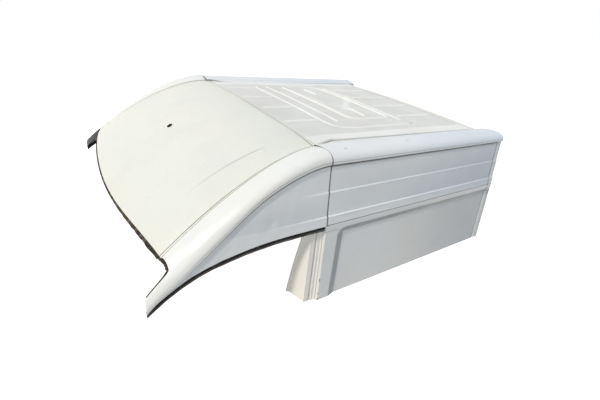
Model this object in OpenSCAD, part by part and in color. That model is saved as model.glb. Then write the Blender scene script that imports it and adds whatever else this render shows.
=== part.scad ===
// Cut-off high roof of a panel van: a domed front over the cab, a flat pressed
// roof behind it, rounded cant rails, side panels and the stubs of the pillars.
// Millimetres. X points to the front, Y to the left side, Z up.
// All shapes are worked out with x = 0 at the joint between cab and load space;
// the finished pieces are moved so that x = 0 is the middle of the length.

/* [Length] */
// From the cab joint back to the rear end
rear_len = 1490; // [1100:5:2400]
// From the cab joint forward to the cut ends of the windscreen pillars
nose_len = 821; // [700:1:950]
// How far the middle of the windscreen edge reaches ahead of the pillar ends
header_lead = 2; // [-40:1:60]
// How far the windscreen edge bows back from its middle to its corners
header_bow = 88; // [50:1:120]

/* [Side wall] */
// Half of the width at the bottom cut
base_half = 954; // [900:1:1000]
// Half of the width at the gutter line
gutter_half = 900; // [860:1:930]
// Half of the width at the drip line below the rail
drip_half = 851; // [820:1:858]
// Height of the gutter line over the bottom cut
gutter_z = 427; // [400:1:450]
// Height of the drip line over the bottom cut
drip_z = 723; // [690:1:740]
// Height of the lower pressed step in the upper panel
swage_low_z = 473; // [460:1:520]
// Height of the upper pressed step in the upper panel
swage_high_z = 593; // [560:1:640]
// How far each pressed step sets the wall in
swage_depth = 4; // [2:0.5:6]
// Inward sweep of the side wall at the pillar ends
nose_sweep = 30; // [10:1:50]

/* [Window blank] */
// Distance of the blank's front edge behind the cab joint, at the bottom cut
blank_front = 107; // [90:1:160]
// How far the front edge leans back up to the top of the blank
blank_lean = 34; // [0:1:60]
// Top edge of the blank, measured up the panel
blank_top = 381; // [340:1:385]
// Corner radius of the blank
blank_r = 45; // [20:1:80]
// Depth of the blank
blank_depth = 11; // [6:0.5:16]
// Width of the sloped border of the blank
blank_bevel = 28; // [16:1:40]
// Panel left standing behind the blank
blank_margin = 12; // [8:1:60]

/* [Rails and dome] */
// Half of the width between the dome's side edges at the cab joint
crease_half = 698; // [670:1:710]
// How far those edges spread towards the front, per metre
crease_spread = 103; // [60:1:120]
// Height of the dome's side edges at the cab joint
crease_z = 754; // [745:1:765]
// Fall of the dome's side edges down to the pillar ends
crease_fall = 440; // [400:1:460]
// Fall of the drip line down to the pillar ends
drip_fall = 498; // [470:1:500]
// Height of the door edge at the cab joint
door_z = 425; // [410:1:430]
// Fall of the door edge down to the pillar ends
door_fall = 209; // [180:1:212]
// Rise of the dome's middle over its side edges at the cab joint
camber_back = 20; // [12:1:30]
// Rise of the dome's middle over its side edges above the windscreen
camber_front = 71; // [50:1:90]
// How far the rail hangs over the side wall at the drip line
lip_w = 6; // [3:0.5:9]
// Width of the joint strip between dome and rail, at the cab joint
strip_back_w = 9; // [6:0.5:14]
// Width of the joint strip between dome and rail, at the windscreen
strip_front_w = 25; // [16:0.5:30]

/* [Roof panel] */
// Rise of the roof panel's middle over its edges
roof_camber = 14; // [6:1:24]
// Half of the width of the sunken field of the roof panel
field_half = 570; // [540:1:600]
// How deep the field is sunk
field_drop = 2; // [1:0.5:4]
// Height of the pressed beads
bead_h = 5; // [3:0.5:8]
// Width of a pressed bead
bead_w = 24; // [16:1:32]
// Length of the band of the rear header in the roof
header_band = 73; // [50:1:100]
// Distance of the first roof bow behind the seam across the roof
bow_lead = 84; // [50:1:200]
// Distance of the last roof bow ahead of the rear header's band
bow_tail = 300; // [120:1:400]
// Length of the shelf behind the roof's rear edge
rear_shelf = 54; // [30:1:80]

/* [Pillars] */
// How far the side panel wraps forward to its corner on the door pillar
corner_reach = 16; // [8:1:24]
// How far the door pillar reaches ahead of the cab joint, at the bottom cut
pillar_reach = 146; // [130:1:180]
// How much further its flange leans forward at the top
pillar_lean = 17; // [0:1:30]
// Depth of the door pillar behind the outer wall, at the bottom cut
pillar_depth = 99; // [80:1:115]
// Depth of the door pillar behind the outer wall, at the door edge
pillar_top_depth = 13; // [12:1:30]
// Number of flutes pressed into the door pillar
flutes = 4; // [2:1:5]
// Distance from flute to flute
flute_pitch = 18; // [14:1:18]
// Depth of a flute
flute_depth = 4.5; // [2:0.5:6]
// Length of the rear corner strip behind the side panels
corner_len = 55; // [40:1:80]
// Depth of the rear pillar
rear_pillar_depth = 60; // [45:1:80]

/* [Sheet and seals] */
// Thickness of the sheet skins
skin_t = 3; // [2:0.5:4]
// Radius of the aerial hole in the dome
aerial_r = 12; // [8:0.5:18]
// Distance of the aerial hole ahead of the cab joint
aerial_x = 468; // [380:1:560]
// Width of the rubber door seal
seal_w = 14; // [10:1:15]
// Height of the rubber door seal
seal_h = 20; // [12:1:24]
// Width of the windscreen flange
glass_flange = 14; // [10:1:20]
// Depth of the windscreen flange below the outer skin
glass_drop = 12; // [9:1:16]

/* [Hidden] */

white = "ivory";
shade = "lightsteelblue";
field_grey = "gainsboro";
rubber = "dimgray";
inner_grey = "silver";

// Common values
header_reach = nose_len + header_lead;
half_span = (rear_len - max(header_reach + glass_flange, nose_len)) / 2;
seam_w = 3;
seam_drop = 2;
far = 3000;
drop_t = skin_t * 1.3;
crown_power = 4.5;
crease_power = 1.68;
drip_power = 1.70;
door_power = 3.35;
steps_x = 21;
steps_side = 24;

// Small helpers for points
function mix(a, b, t) = a + (b - a) * t;
function clamp(v, low, high) = min(high, max(low, v));
function bezier(a, b, c, d, t) =
    pow(1 - t, 3) * a + 3 * pow(1 - t, 2) * t * b + 3 * (1 - t) * t * t * c + pow(t, 3) * d;
function unit(v) = v / norm(v);
function reverse(list) = [for (i = [len(list) - 1 : -1 : 0]) list[i]];

// Moves an open path sideways by d, to the right of its direction, with mitred corners
function side_of(a, b) = let(v = unit(b - a)) [v[1], -v[0]];
function offset_path(path, d) = [
    for (i = [0 : len(path) - 1])
        let(
            before = side_of(path[max(i - 1, 0)], path[max(i, 1)]),
            after = side_of(path[min(i, len(path) - 2)], path[min(i + 1, len(path) - 1)]),
            m = unit(before + after)
        )
        path[i] + m * d / (m * after)
];
function sheet_outline(path, t) = concat(path, reverse(offset_path(path, t)));

// A closed sheet between two grids of points with equal rows and columns
function grid_faces(n, m, first, turned) = [
    for (i = [0 : n - 2], j = [0 : m - 2])
        let(a = first + i * m + j, b = a + 1, c = a + m, d = c + 1)
        each turned ? [[a, d, b], [a, c, d]] : [[a, b, d], [a, d, c]]
];
function wall_faces(ring, shift) = [
    for (i = [0 : len(ring) - 1])
        let(a = ring[i], b = ring[(i + 1) % len(ring)])
        each [[a, a + shift, b + shift], [a, b + shift, b]]
];
module grid_sheet(outer, inner) {
    n = len(outer);
    m = len(outer[0]);
    count = n * m;
    border = concat(
        [for (j = [0 : m - 1]) j],
        [for (i = [1 : n - 1]) i * m + m - 1],
        [for (j = [m - 2 : -1 : 0]) (n - 1) * m + j],
        [for (i = [n - 2 : -1 : 1]) i * m]
    );
    polyhedron(
        points = concat([for (row = outer) each row], [for (row = inner) each row]),
        faces = concat(
            grid_faces(n, m, 0, false),
            grid_faces(n, m, count, true),
            wall_faces(border, count)
        )
    );
}

// A closed bar lofted through rings of points
module ring_loft(rings) {
    n = len(rings);
    m = len(rings[0]);
    polyhedron(
        points = [for (r = rings) each r],
        faces = concat(
            [[for (j = [m - 1 : -1 : 0]) j]],
            [[for (j = [0 : m - 1]) (n - 1) * m + j]],
            [for (i = [0 : n - 2], j = [0 : m - 1])
                let(a = i * m + j, b = i * m + (j + 1) % m)
                each [[a, b, b + m], [a, b + m, a + m]]]
        )
    );
}

// Extrudes an outline drawn in (y, z) along X from x0 to x1
module along_x(x0, x1) {
    translate([min(x0, x1), 0, 0])
        rotate([90, 0, 90])
            linear_extrude(height = abs(x1 - x0))
                children();
}
// Extrudes an outline drawn in plan from z0 to z1
module along_z(z0, z1) {
    translate([0, 0, z0])
        linear_extrude(height = z1 - z0)
            children();
}
module place() { translate([half_span, 0, 0]) children(); }
module right() { mirror([0, 1, 0]) children(); }

// Side wall
function lower_y(z) = base_half - (base_half - gutter_half) * z / gutter_z;
function upper_y(z) = gutter_half - (gutter_half - drip_half) * (z - gutter_z) / (drip_z - gutter_z);
function wall_y(z) = z < gutter_z ? lower_y(z) : upper_y(z);
// A pressed step leaves the wall out below it and in above it
swage_rise = 6;
function swage_push(z) =
    let(
        up = clamp((z - gutter_z) / (drip_z - gutter_z), 0, 1),
        low = clamp((z - swage_low_z) / swage_rise + 0.5, 0, 1),
        high = clamp((z - swage_high_z) / swage_rise + 0.5, 0, 1)
    )
    swage_depth * (2 * up - low - high);
upper_z_list = [
    gutter_z,
    swage_low_z - swage_rise / 2, swage_low_z + swage_rise / 2,
    swage_high_z - swage_rise / 2, swage_high_z + swage_rise / 2,
    drip_z
];
upper_path = [for (z = upper_z_list) [upper_y(z) + swage_push(z), z]];
wall_path = concat([[base_half, 0]], upper_path);
function inset_wall(d) = [for (p = wall_path) [p[0] - d, p[1]]];
module wall_band(outer, inner) {
    polygon(concat(inset_wall(outer), reverse(inset_wall(inner))));
}

// Section of the rail behind the cab joint, from the ditch over the top to the drip line
rail_start = [640, crease_z - 10];
rail_end = [drip_half + lip_w, drip_z];
rail_pull = [100, 38];
rail_bulge = [5, 68];
rear_rail_path = [
    for (i = [0 : steps_side])
        bezier(rail_start, rail_start + rail_pull, rail_end + rail_bulge, rail_end, i / steps_side)
];

// Dome and front rails
function fall(x, depth, power) = depth * pow(clamp(x / nose_len, 0, 1.2), power);
function crease_y(x) = crease_half + crease_spread * x / 1000;
function crease_h(x) = crease_z - fall(x, crease_fall, crease_power);
function drip_h(x) = drip_z - fall(x, drip_fall, drip_power);
function door_h(x) = door_z - fall(x, door_fall, door_power);
function sweep(x) = nose_sweep * pow(x / nose_len, 2);
function camber(x) = mix(camber_back, camber_front, sin(90 * clamp(x / 500, 0, 1)));
function header_x(v) = header_reach - header_bow * v * v;
function dome_point(x, v, drop = 0) =
    [x, v * crease_y(x), crease_h(x) + camber(x) * (1 - pow(abs(v), crown_power)) - drop];

function rail_point(x, s) =
    let(
        k = clamp(x / nose_len, 0, 1),
        start = [crease_y(x), crease_h(x)],
        end = [wall_y(drip_h(x)) - sweep(x) + lip_w, drip_h(x)],
        p = bezier(
            start,
            start + mix([77, 31], [50, 5], k),
            end + mix([5, 68], [3, 50], k),
            end, s)
    )
    [x, p[0], p[1]];
// The windscreen edge runs along the header, round the corner and down the pillar
corner_x = header_x(1);
edge_dip = 12;
corner_s = 0.45;
pillar_s = 0.60;
function rail_front(s) =
    let(dip = corner_x - edge_dip)
    s < corner_s ? corner_x - edge_dip * sin(90 * s / corner_s)
    : s < pillar_s ? mix(dip, nose_len, pow((s - corner_s) / (pillar_s - corner_s), 5))
    : nose_len;
rail_stops = [0, 0.16, 0.25, 0.34, 0.42, 0.47, 0.51, 0.54, 0.56, 0.575, 0.59, 0.60, 0.70, 0.80, 0.90, 1];
// The section over the rail is about this long
rail_run = 250;
function strip_s(x) = mix(strip_back_w, strip_front_w, clamp(x / corner_x, 0, 1)) / rail_run;
function rail_s(x, j) = j == 0 ? strip_s(x) : rail_stops[j];
function rail_x(u, j) = u * rail_front(rail_stops[j]);
function rail_at(u, j) = let(x = rail_x(u, j)) rail_point(x, rail_s(x, j));
function rail_normal(u, j) =
    let(
        x = rail_x(u, j),
        s = rail_s(x, j),
        along = rail_point(x + 1, s) - rail_point(x - 1, s),
        across = rail_point(x, min(s + 0.01, 1)) - rail_point(x, max(s - 0.01, 0))
    )
    unit(cross(along, across));
last_stop = len(rail_stops) - 1;
// Depth is counted from the outer skin; both edges keep their own direction
function rail_in(u, j, depth) =
    j == 0 ? rail_at(u, j) - [0, 0, depth * drop_t / skin_t]
    : j == last_stop ? rail_at(u, j) - [0, depth + lip_w, 0]
    : rail_at(u, j) - rail_normal(u, j) * depth;

module front_dome_sheet() {
    columns = 26;
    outer = [
        for (i = [0 : steps_x])
            [for (j = [0 : columns])
                let(v = 2 * j / columns - 1)
                dome_point(header_x(v) * i / steps_x, v)]
    ];
    grid_sheet(outer, [for (row = outer) [for (p = row) p - [0, 0, drop_t]]]);
}
module front_dome() {
    color(white) place() difference() {
        front_dome_sheet();
        translate(dome_point(aerial_x, 0))
            rotate([0, aerial_tilt, 0])
                cylinder(r = aerial_r, h = 8 * skin_t, center = true, $fn = 48);
    }
}
aerial_tilt = atan2(dome_point(aerial_x - 5, 0)[2] - dome_point(aerial_x + 5, 0)[2], 10);

// The strip in the joint between dome and rail lies a little below both
strip_sink = 1.5;
module dome_strip() {
    place() ring_loft([
        for (i = [0 : steps_x])
            let(
                inboard = rail_point(corner_x * i / steps_x, 0),
                outboard = rail_at(i / steps_x, 0)
            )
            [
                inboard - [0, 0, strip_sink],
                outboard - [0, 0, strip_sink],
                outboard - [0, 0, drop_t + strip_sink],
                inboard - [0, 0, drop_t + strip_sink]
            ]
    ]);
}

function rail_grid(depth_list) = [
    for (i = [0 : steps_x])
        [for (j = [0 : last_stop]) rail_in(i / steps_x, j, depth_list[j])]
];
module front_rail() {
    outer = [for (i = [0 : steps_x]) [for (j = [0 : last_stop]) rail_at(i / steps_x, j)]];
    place() grid_sheet(outer, rail_grid([for (s = rail_stops) skin_t]));
}
// Inner pressing that closes the front rail and the pillar to a box
box_depth = 24;
module pillar_inner() {
    depths = [for (s = rail_stops) skin_t + box_depth * sin(180 * s)];
    place() grid_sheet(rail_grid(depths), rail_grid([for (d = depths) d + skin_t]));
}

// Front side panel between door edge and drip line; its steps fade out forwards
low_fade = 330;
high_fade = 166;
function front_push(x, z) =
    let(
        plain = clamp((z - gutter_z) / (drip_z - gutter_z), 0, 1),
        low = clamp((z - swage_low_z) / swage_rise + 0.5, 0, 1),
        high = clamp((z - swage_high_z) / swage_rise + 0.5, 0, 1)
    )
    swage_depth * (
        (plain - low) * clamp(1 - x / low_fade, 0, 1)
        + (plain - high) * clamp(1 - x / high_fade, 0, 1)
    );
front_z_list = [
    door_z,
    swage_low_z - swage_rise / 2, swage_low_z + swage_rise / 2,
    (swage_low_z + swage_high_z) / 2,
    swage_high_z - swage_rise / 2, swage_high_z + swage_rise / 2,
    drip_z
];
function front_z(x, k) =
    let(last = len(front_z_list) - 1, bottom = door_h(x), top = drip_h(x), e = (top - bottom) / (last + 2))
    k == 0 ? bottom
    : k == last ? top
    : clamp(front_z_list[k], bottom + k * min(e, 12), top - (last - k) * min(e, 12));
function front_wall(x, z, inset) = [x, wall_y(z) + front_push(x, z) - sweep(x) - inset, z];
module front_side_panel() {
    rows = 26;
    outer = [
        for (i = [0 : rows])
            [for (k = [0 : len(front_z_list) - 1])
                let(x = nose_len * i / rows, z = front_z(x, k))
                front_wall(x, z, 0)]
    ];
    place() grid_sheet([for (row = outer) [for (p = row) p - [0, skin_t, 0]]], outer);
}

// Rings along the door edge: a section given as (inward, down) from the edge
function door_ring(x, section) =
    let(z = door_h(x), y = wall_y(z) - sweep(x))
    [for (p = section) [x, y - p[0], z - p[1]]];
// The same, with inward counted from the wall at each point's own height
function door_foot_ring(x, section) =
    let(z = door_h(x), lean = wall_y(z) - wall_y(z + header_foot))
    door_ring(x, [for (i = [0 : len(section) - 1])
        let(p = section[i])
        [p[0] + (i == 0 || i == len(section) - 1 ? lean : 0), p[1]]]);
module door_seal() {
    // A round tube with a lip, clipped below the panel's edge
    section = [
        [0, 0], [seal_w, 0], [seal_w + 2, seal_h * 0.4], [seal_w * 0.8, seal_h],
        [seal_w * 0.35, seal_h], [-2, seal_h * 0.7], [-3, seal_h * 0.3]
    ];
    place() ring_loft([
        for (i = [0 : steps_x]) door_ring(mix(34, nose_len - 1, i / steps_x), reverse(section))
    ]);
}
header_foot = 14;
header_wall = 46;
header_rise = 40;
module door_header() {
    path = [
        [skin_t, -header_foot], [skin_t, 0], [header_wall, 0],
        [header_wall, -header_rise], [header_wall - 14, -header_rise - 18]
    ];
    section = sheet_outline(path, skin_t);
    // Swept a little too far back and cut off square at the cab joint
    place() intersection() {
        ring_loft([
            for (i = [0 : steps_x]) door_foot_ring(mix(-skin_t, nose_len * 0.86, i / steps_x), section)
        ]);
        cube(far);
    }
}

// Windscreen header: a section given as (back, down) from the dome's front edge
function header_ring(v, section) = [
    for (p = section) dome_point(header_x(v) - p[0], v, p[1])
];
header_columns = 26;
hat_front = 10;
hat_back = 52;
hat_depth = 18;
hat_end = 96;
hat_flange = 18;
module windscreen_header() {
    path = [
        [-glass_flange, glass_drop], [0, glass_drop],
        [hat_front, glass_drop + hat_depth], [hat_back, glass_drop + hat_depth + 2],
        [hat_end - hat_flange, drop_t + 0.5], [hat_end, drop_t + 0.5]
    ];
    section = sheet_outline(path, -skin_t);
    color(inner_grey) place() ring_loft([
        for (j = [0 : header_columns]) header_ring(mix(-0.985, 0.985, j / header_columns), section)
    ]);
}
module windscreen_seal() {
    section = [
        [0, drop_t], [0, glass_drop], [-glass_flange + 2, glass_drop],
        [-glass_flange + 1, glass_drop - 4], [-glass_flange + 5, glass_drop - 7], [-4, drop_t]
    ];
    color(rubber) place() ring_loft([
        for (j = [0 : header_columns]) header_ring(mix(-1, 1, j / header_columns), section)
    ]);
}
// Bead of old glass adhesive round the corner and down the pillar
bead_stops = 16;
function edge_point(s) = rail_point(rail_front(s), s);
function edge_normal(s) =
    let(
        x = rail_front(s),
        along = rail_point(x + 1, s) - rail_point(x - 1, s),
        across = rail_point(x, s + 0.01) - rail_point(x, s - 0.01)
    )
    unit(cross(across, along));
function edge_out(s) =
    let(run = edge_point(s + 0.002) - edge_point(s - 0.002))
    unit(cross(run, edge_normal(s)));
module pillar_bead() {
    place() ring_loft([
        for (i = [0 : bead_stops])
            let(
                s = mix(0.012, pillar_s - 0.004, i / bead_stops),
                p = edge_point(s),
                n = edge_normal(s),
                o = edge_out(s)
            )
            [p - n * 9, p + o * 7 - n * 9, p + o * 9 - n * 6, p + o * 6 - n * 2, p - n]
    ]);
}

// Flat roof: cambered bands of constant section, cut to shape in plan
roof_half = crease_half - 8;
function roof_h(y) = crease_z + roof_camber * (1 - pow(y / roof_half, 2));
function field_h(y) = roof_h(y) - field_drop * clamp((field_half - abs(y)) / 6 + 0.5, 0, 1);
roof_y_half = [
    for (i = [0 : 12]) (field_half - 3) * i / 12
];
roof_y_list = concat(
    [-roof_half, -field_half - 3], reverse([for (y = roof_y_half) if (y > 0) -y]) ,
    roof_y_half, [field_half + 3, roof_half]
);
module camber_outline(top, depth) {
    polygon(concat(
        [for (y = roof_y_list) [y, field_h(y) - top]],
        reverse([for (y = roof_y_list) [y, field_h(y) - top - depth]])
    ));
}
module camber_band(x0, x1, top, depth) {
    along_x(x0, x1) camber_outline(top, depth);
}

// Plan line of the ditch beside the roof panel, on the left side
seam_back = -26;
ditch_w = 12;
ditch_z = 740;
ditch_fill = 7;
ditch_line = [
    [-rear_len, crease_half - 15], [-rear_len + 100, crease_half - 17],
    [-159, crease_half - 45], [-44, crease_half + 4], [0, crease_half + 4]
];
module plan_outside() {
    polygon(concat(ditch_line, [[0, far], [-rear_len, far]]));
}
module plan_band(from, to) {
    polygon(concat(offset_path(ditch_line, from), reverse(offset_path(ditch_line, to))));
}
module plan_inside(d) {
    left = offset_path(ditch_line, d);
    polygon(concat(left, reverse([for (p = left) [p[0], -p[1]]])));
}

roof_back = -rear_len + rear_shelf + 6 + header_band;
header_back = -rear_len + rear_shelf + 6;

// Beads, drawn in plan
function arc(c, r, a0, a1, n = 8) =
    [for (i = [0 : n]) let(a = mix(a0, a1, i / n)) c + r * [cos(a), sin(a)]];
module slot(a, b, w) {
    d = unit(b - a);
    turn = atan2(d[1], d[0]);
    polygon(concat(
        arc(b, w / 2, turn - 90, turn + 90, 6),
        arc(a, w / 2, turn + 90, turn + 270, 6)
    ));
}
module loop_band(x0, x1, half_y, r, w) {
    difference() {
        rounded_box(x0 - w / 2, x1 + w / 2, half_y + w / 2, r + w / 2);
        rounded_box(x0 + w / 2, x1 - w / 2, half_y - w / 2, r - w / 2);
    }
}
module rounded_box(x0, x1, half_y, r) {
    polygon(concat(
        arc([x1 - r, half_y - r], r, 0, 90),
        arc([x0 + r, half_y - r], r, 90, 180),
        arc([x0 + r, -half_y + r], r, 180, 270),
        arc([x1 - r, -half_y + r], r, 270, 360)
    ));
}
// Lengths are shares of the roof from its front edge, widths are shares of its half width
front_beads = [0.022, 0.157];
rear_beads = [0.702, 0.912];
front_bead_rows = [0.181, 0.565];
rear_bead_rows = [0.167, 0.493];
loop_span = [0.195, 0.649];
loop_share = 0.739;
loop_r = 130;
frame_span = [0.379, 0.627];
frame_share = 0.551;
frame_r = 80;
cross_bead = 0.273;
cross_share = 0.609;
short_bead = 0.484;
short_shares = [0.304, 0.464];
function roof_x(share) = mix(seam_back, roof_back, share);
function roof_y(share) = roof_half * share;
module long_bead(span, row, w) {
    slot([roof_x(span[0]), roof_y(row)], [roof_x(span[1]), roof_y(row)], w);
}
module cross_slot(place, from, to, w) {
    slot([roof_x(place), roof_y(from)], [roof_x(place), roof_y(to)], w);
}
module bead_plan(w) {
    for (side = [-1, 1]) {
        for (row = front_bead_rows) long_bead(front_beads, side * row, w);
        for (row = rear_bead_rows) long_bead(rear_beads, side * row, w);
        cross_slot(short_bead, side * short_shares[0], side * short_shares[1], w);
    }
    loop_band(roof_x(loop_span[1]), roof_x(loop_span[0]), roof_y(loop_share), loop_r, w);
    cross_slot(cross_bead, -cross_share, cross_share, w);
    loop_band(roof_x(frame_span[1]), roof_x(frame_span[0]), roof_y(frame_share), frame_r, w + 6);
}

module roof_panel() {
    color(field_grey) place() union() {
        intersection() {
            camber_band(roof_back, seam_back, 0, skin_t);
            along_z(0, far) plan_inside(ditch_w);
        }
        // Down-turned flanges beside the ditches
        for (side = [0, 1]) mirror([0, side, 0]) intersection() {
            camber_band(roof_back, seam_back, skin_t, crease_z - skin_t - ditch_z);
            along_z(ditch_z, far) plan_band(ditch_w, ditch_w + skin_t);
        }
        intersection() {
            camber_band(roof_back, seam_back, -bead_h / 2, bead_h / 2 + skin_t / 2);
            along_z(0, far) bead_plan(bead_w);
        }
        intersection() {
            camber_band(roof_back, seam_back, -bead_h, bead_h);
            along_z(0, far) bead_plan(bead_w * 0.55);
        }
    }
}
module roof_ditch() {
    place() intersection() {
        along_z(ditch_z, ditch_z + ditch_fill) plan_band(0, ditch_w);
        translate([roof_back, 0, 0]) cube([seam_back - roof_back, far, far]);
    }
}
// Joint strip between dome and roof panel
module roof_seam_strip() {
    columns = 26;
    function seam_y(j) = (2 * j / columns - 1) * crease_half;
    color(white) place() ring_loft([
        for (j = [0 : columns])
            let(
                v = 2 * j / columns - 1,
                y = v * crease_half,
                front = dome_point(0, v)[2],
                back = field_h(v * roof_half)
            )
            [
                [0, y, front], [seam_back, y, back],
                [seam_back, y, back - skin_t], [0, y, front - drop_t]
            ]
    ]);
}

module rear_rail() {
    place() union() {
        intersection() {
            along_x(-rear_len + rear_shelf - 48, -seam_w)
                polygon(concat(
                    rear_rail_path,
                    [rail_end - [lip_w + skin_t, 0]],
                    reverse([for (i = [0 : steps_side - 1]) offset_path(rear_rail_path, skin_t)[i]])
                ));
            along_z(0, far) plan_outside();
        }
        intersection() {
            along_x(-rear_len + rear_shelf - 48, -seam_w)
                polygon(concat(rear_rail_path, [[rail_end[0], ditch_z], [rail_start[0], ditch_z]]));
            along_z(ditch_z, far) plan_band(-skin_t, 0);
        }
    }
}

// Inner side rail under the ditch, from the roof bows down to the side panel
bow_half = 632;
inner_rail_low = 640;
module inner_rail() {
    foot = [wall_y(inner_rail_low) + swage_push(inner_rail_low) - skin_t, inner_rail_low];
    path = [
        [bow_half, ditch_z], [crease_half + 8, ditch_z], [crease_half + 70, ditch_z - 45],
        [foot[0] - 40, inner_rail_low + 8], foot
    ];
    place() along_x(-rear_len + corner_len, -seam_w) polygon(sheet_outline(path, skin_t));
}

module side_seam() {
    place() along_x(-seam_w, 0) union() {
        wall = [for (p = upper_path) p - [seam_drop, 0]];
        polygon(concat(wall, reverse([for (p = wall) p - [skin_t, 0]])));
        rail = [for (i = [5 : steps_side]) rear_rail_path[i]];
        polygon(concat(
            offset_path(rail, seam_drop),
            reverse(offset_path(rail, seam_drop + skin_t))
        ));
    }
}

module upper_side_panel() {
    place() along_x(-rear_len + corner_len, -seam_w)
        polygon(concat(upper_path, reverse([for (p = upper_path) p - [skin_t, 0]])));
}

// The lower panel is flat and leans inwards; it is built lying down and then stood up
panel_lean = atan2(base_half - gutter_half, gutter_z);
panel_h = gutter_z / cos(panel_lean);
notch = 1.5;
gutter_lip = 3;
below = 60;
module blank_outline(grow, r) {
    top = blank_top + grow;
    front = -blank_front + grow;
    back = -rear_len + corner_len + blank_margin - grow;
    lean = blank_lean;
    polygon(concat(
        [[back, -below], [front + lean * below / top, -below]],
        arc([front - lean - r, top - r], r, 0, 90),
        [[back, top]]
    ));
}
module blank_pan(grow, depth) {
    hull() {
        translate([0, 0, -0.01]) linear_extrude(height = 1) blank_outline(grow, blank_r);
        translate([0, 0, -depth]) linear_extrude(height = 1)
            blank_outline(grow - blank_bevel, blank_r);
    }
}
// Local frame: x along the van, y up the panel, z outwards
module stand_panel() {
    translate([0, base_half, 0]) rotate([90 + panel_lean, 0, 0]) mirror([0, 0, 1]) children();
}
module lower_side_panel() {
    x0 = -rear_len + corner_len;
    length = corner_reach - x0;
    place() intersection() {
        stand_panel() difference() {
            union() {
                translate([x0, -below, -skin_t]) cube([length, panel_h + below - gutter_lip, skin_t]);
                translate([x0, -below, -skin_t - notch]) cube([length, panel_h + below, skin_t]);
                intersection() {
                    translate([x0, -below, -below]) cube([length, panel_h + below / 2, below]);
                    blank_pan(skin_t, blank_depth + skin_t);
                }
            }
            blank_pan(0, blank_depth);
        }
        union() {
            translate([-far, 0, 0]) cube([far - seam_w, far, gutter_z]);
            translate([-2 * seam_w, 0, 0]) cube([far, far, door_z]);
        }
    }
}

// Hat-section post behind the cab joint, between gutter and inner rail
post_w = 46;
post_flange = 16;
post_depth = 28;
module side_post() {
    back = -seam_w - post_w - 2 * post_flange;
    place() intersection() {
        union() {
            along_x(back, back + post_flange + skin_t) wall_band(skin_t, 2 * skin_t);
            along_x(-seam_w - post_flange - skin_t, -seam_w) wall_band(skin_t, 2 * skin_t);
            for (x = [back + post_flange, -seam_w - post_flange - skin_t])
                along_x(x, x + skin_t) wall_band(skin_t, post_depth);
            along_x(back + post_flange, -seam_w - post_flange) wall_band(post_depth - skin_t, post_depth);
        }
        translate([-far, 0, gutter_z]) cube([2 * far, far, inner_rail_low - skin_t - gutter_z]);
    }
}

// Door pillar: a fluted outer pressing and a plain closing plate behind it. It tapers,
// because the wall leans inwards while the door flange stands nearly upright.
pillar_rows = 6;
back_flange = 80;
front_flange = 23;
panel_back = (skin_t + notch) / cos(panel_lean);
flute_end = corner_reach + flutes * flute_pitch;
pillar_outer_top = door_z - seal_h - 1;
pillar_plate_top = door_h(pillar_reach + pillar_lean);
function pillar_tall(z) = z / gutter_z;
function flange_drop(z) = mix(pillar_depth, pillar_top_depth, pillar_tall(z));
function flange_x(z) = pillar_reach + pillar_lean * pillar_tall(z);
// Points are (x, drop behind the outer wall)
function flute_points(z) =
    let(slope = mix(15, 6, pillar_tall(z)) / (flutes * flute_pitch))
    [for (i = [0 : flutes - 1])
        let(x = corner_reach + i * flute_pitch, drop = panel_back + slope * i * flute_pitch)
        each [
            [x, drop],
            [x + flute_pitch * 0.25, drop + flute_depth],
            [x + flute_pitch * 0.65, drop + flute_depth],
            [x + flute_pitch * 0.9, drop]
        ]];
function pillar_front(z) =
    let(end = panel_back + mix(15, 6, pillar_tall(z)))
    concat(
        [[-back_flange, panel_back]],
        flute_points(z),
        [[flute_end, min(end, flange_drop(z) - 2)],
         [flange_x(z) - front_flange, flange_drop(z) - 2 - 5 * (1 - pillar_tall(z))],
         [flange_x(z), flange_drop(z)]]
    );
function pillar_back(z) =
    let(drop = flange_drop(z) + skin_t)
    [
        [flange_x(z), drop], [flange_x(z) - front_flange, drop], [-40, drop],
        [-back_flange + front_flange, panel_back + skin_t], [-back_flange, panel_back + skin_t]
    ];
function standing(path, z) = [for (p = path) [p[0], wall_y(z) - p[1], z]];
function level(path, z) = [for (p = path) [p[0], wall_y(z) - p[1]]];
function raised(path, z) = [for (p = path) [p[0], p[1], z]];
module door_pillar() {
    heights = [for (i = [0 : pillar_rows]) pillar_outer_top * i / pillar_rows];
    place() grid_sheet(
        [for (z = heights) standing(pillar_front(z), z)],
        [for (z = heights) raised(offset_path(level(pillar_front(z), z), skin_t), z)]
    );
}
module door_pillar_inner() {
    heights = [for (i = [0 : pillar_rows]) pillar_plate_top * i / pillar_rows];
    place() grid_sheet(
        [for (z = heights) raised(offset_path(level(pillar_back(z), z), -skin_t), z)],
        [for (z = heights) standing(pillar_back(z), z)]
    );
}

// Rear corner strip and the pillar behind it
module rear_corner() {
    place() along_x(-rear_len, -rear_len + corner_len) wall_band(notch, notch + skin_t);
}
module rear_pillar() {
    inner_rail_points = [for (i = [0 : steps_side - 1]) offset_path(rear_rail_path, skin_t)[i]];
    web_top = [for (p = reverse(inner_rail_points)) if (p[0] > crease_half - 10) p];
    web = concat(
        inset_wall(notch + skin_t),
        [[drip_half - skin_t - notch - 1, drip_z]],
        web_top,
        [[crease_half - 10, ditch_z - 70], [crease_half + 60, inner_rail_low - 30]],
        reverse([for (p = inset_wall(rear_pillar_depth)) if (p[1] < inner_rail_low - 60) p])
    );
    x0 = -rear_len;
    place() union() {
        along_x(x0 + 3, x0 + 3 + skin_t) polygon(web);
        along_x(x0 + 3, x0 + corner_len) intersection() {
            wall_band(rear_pillar_depth - skin_t, rear_pillar_depth);
            square([far, inner_rail_low - 60]);
        }
    }
}

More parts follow.
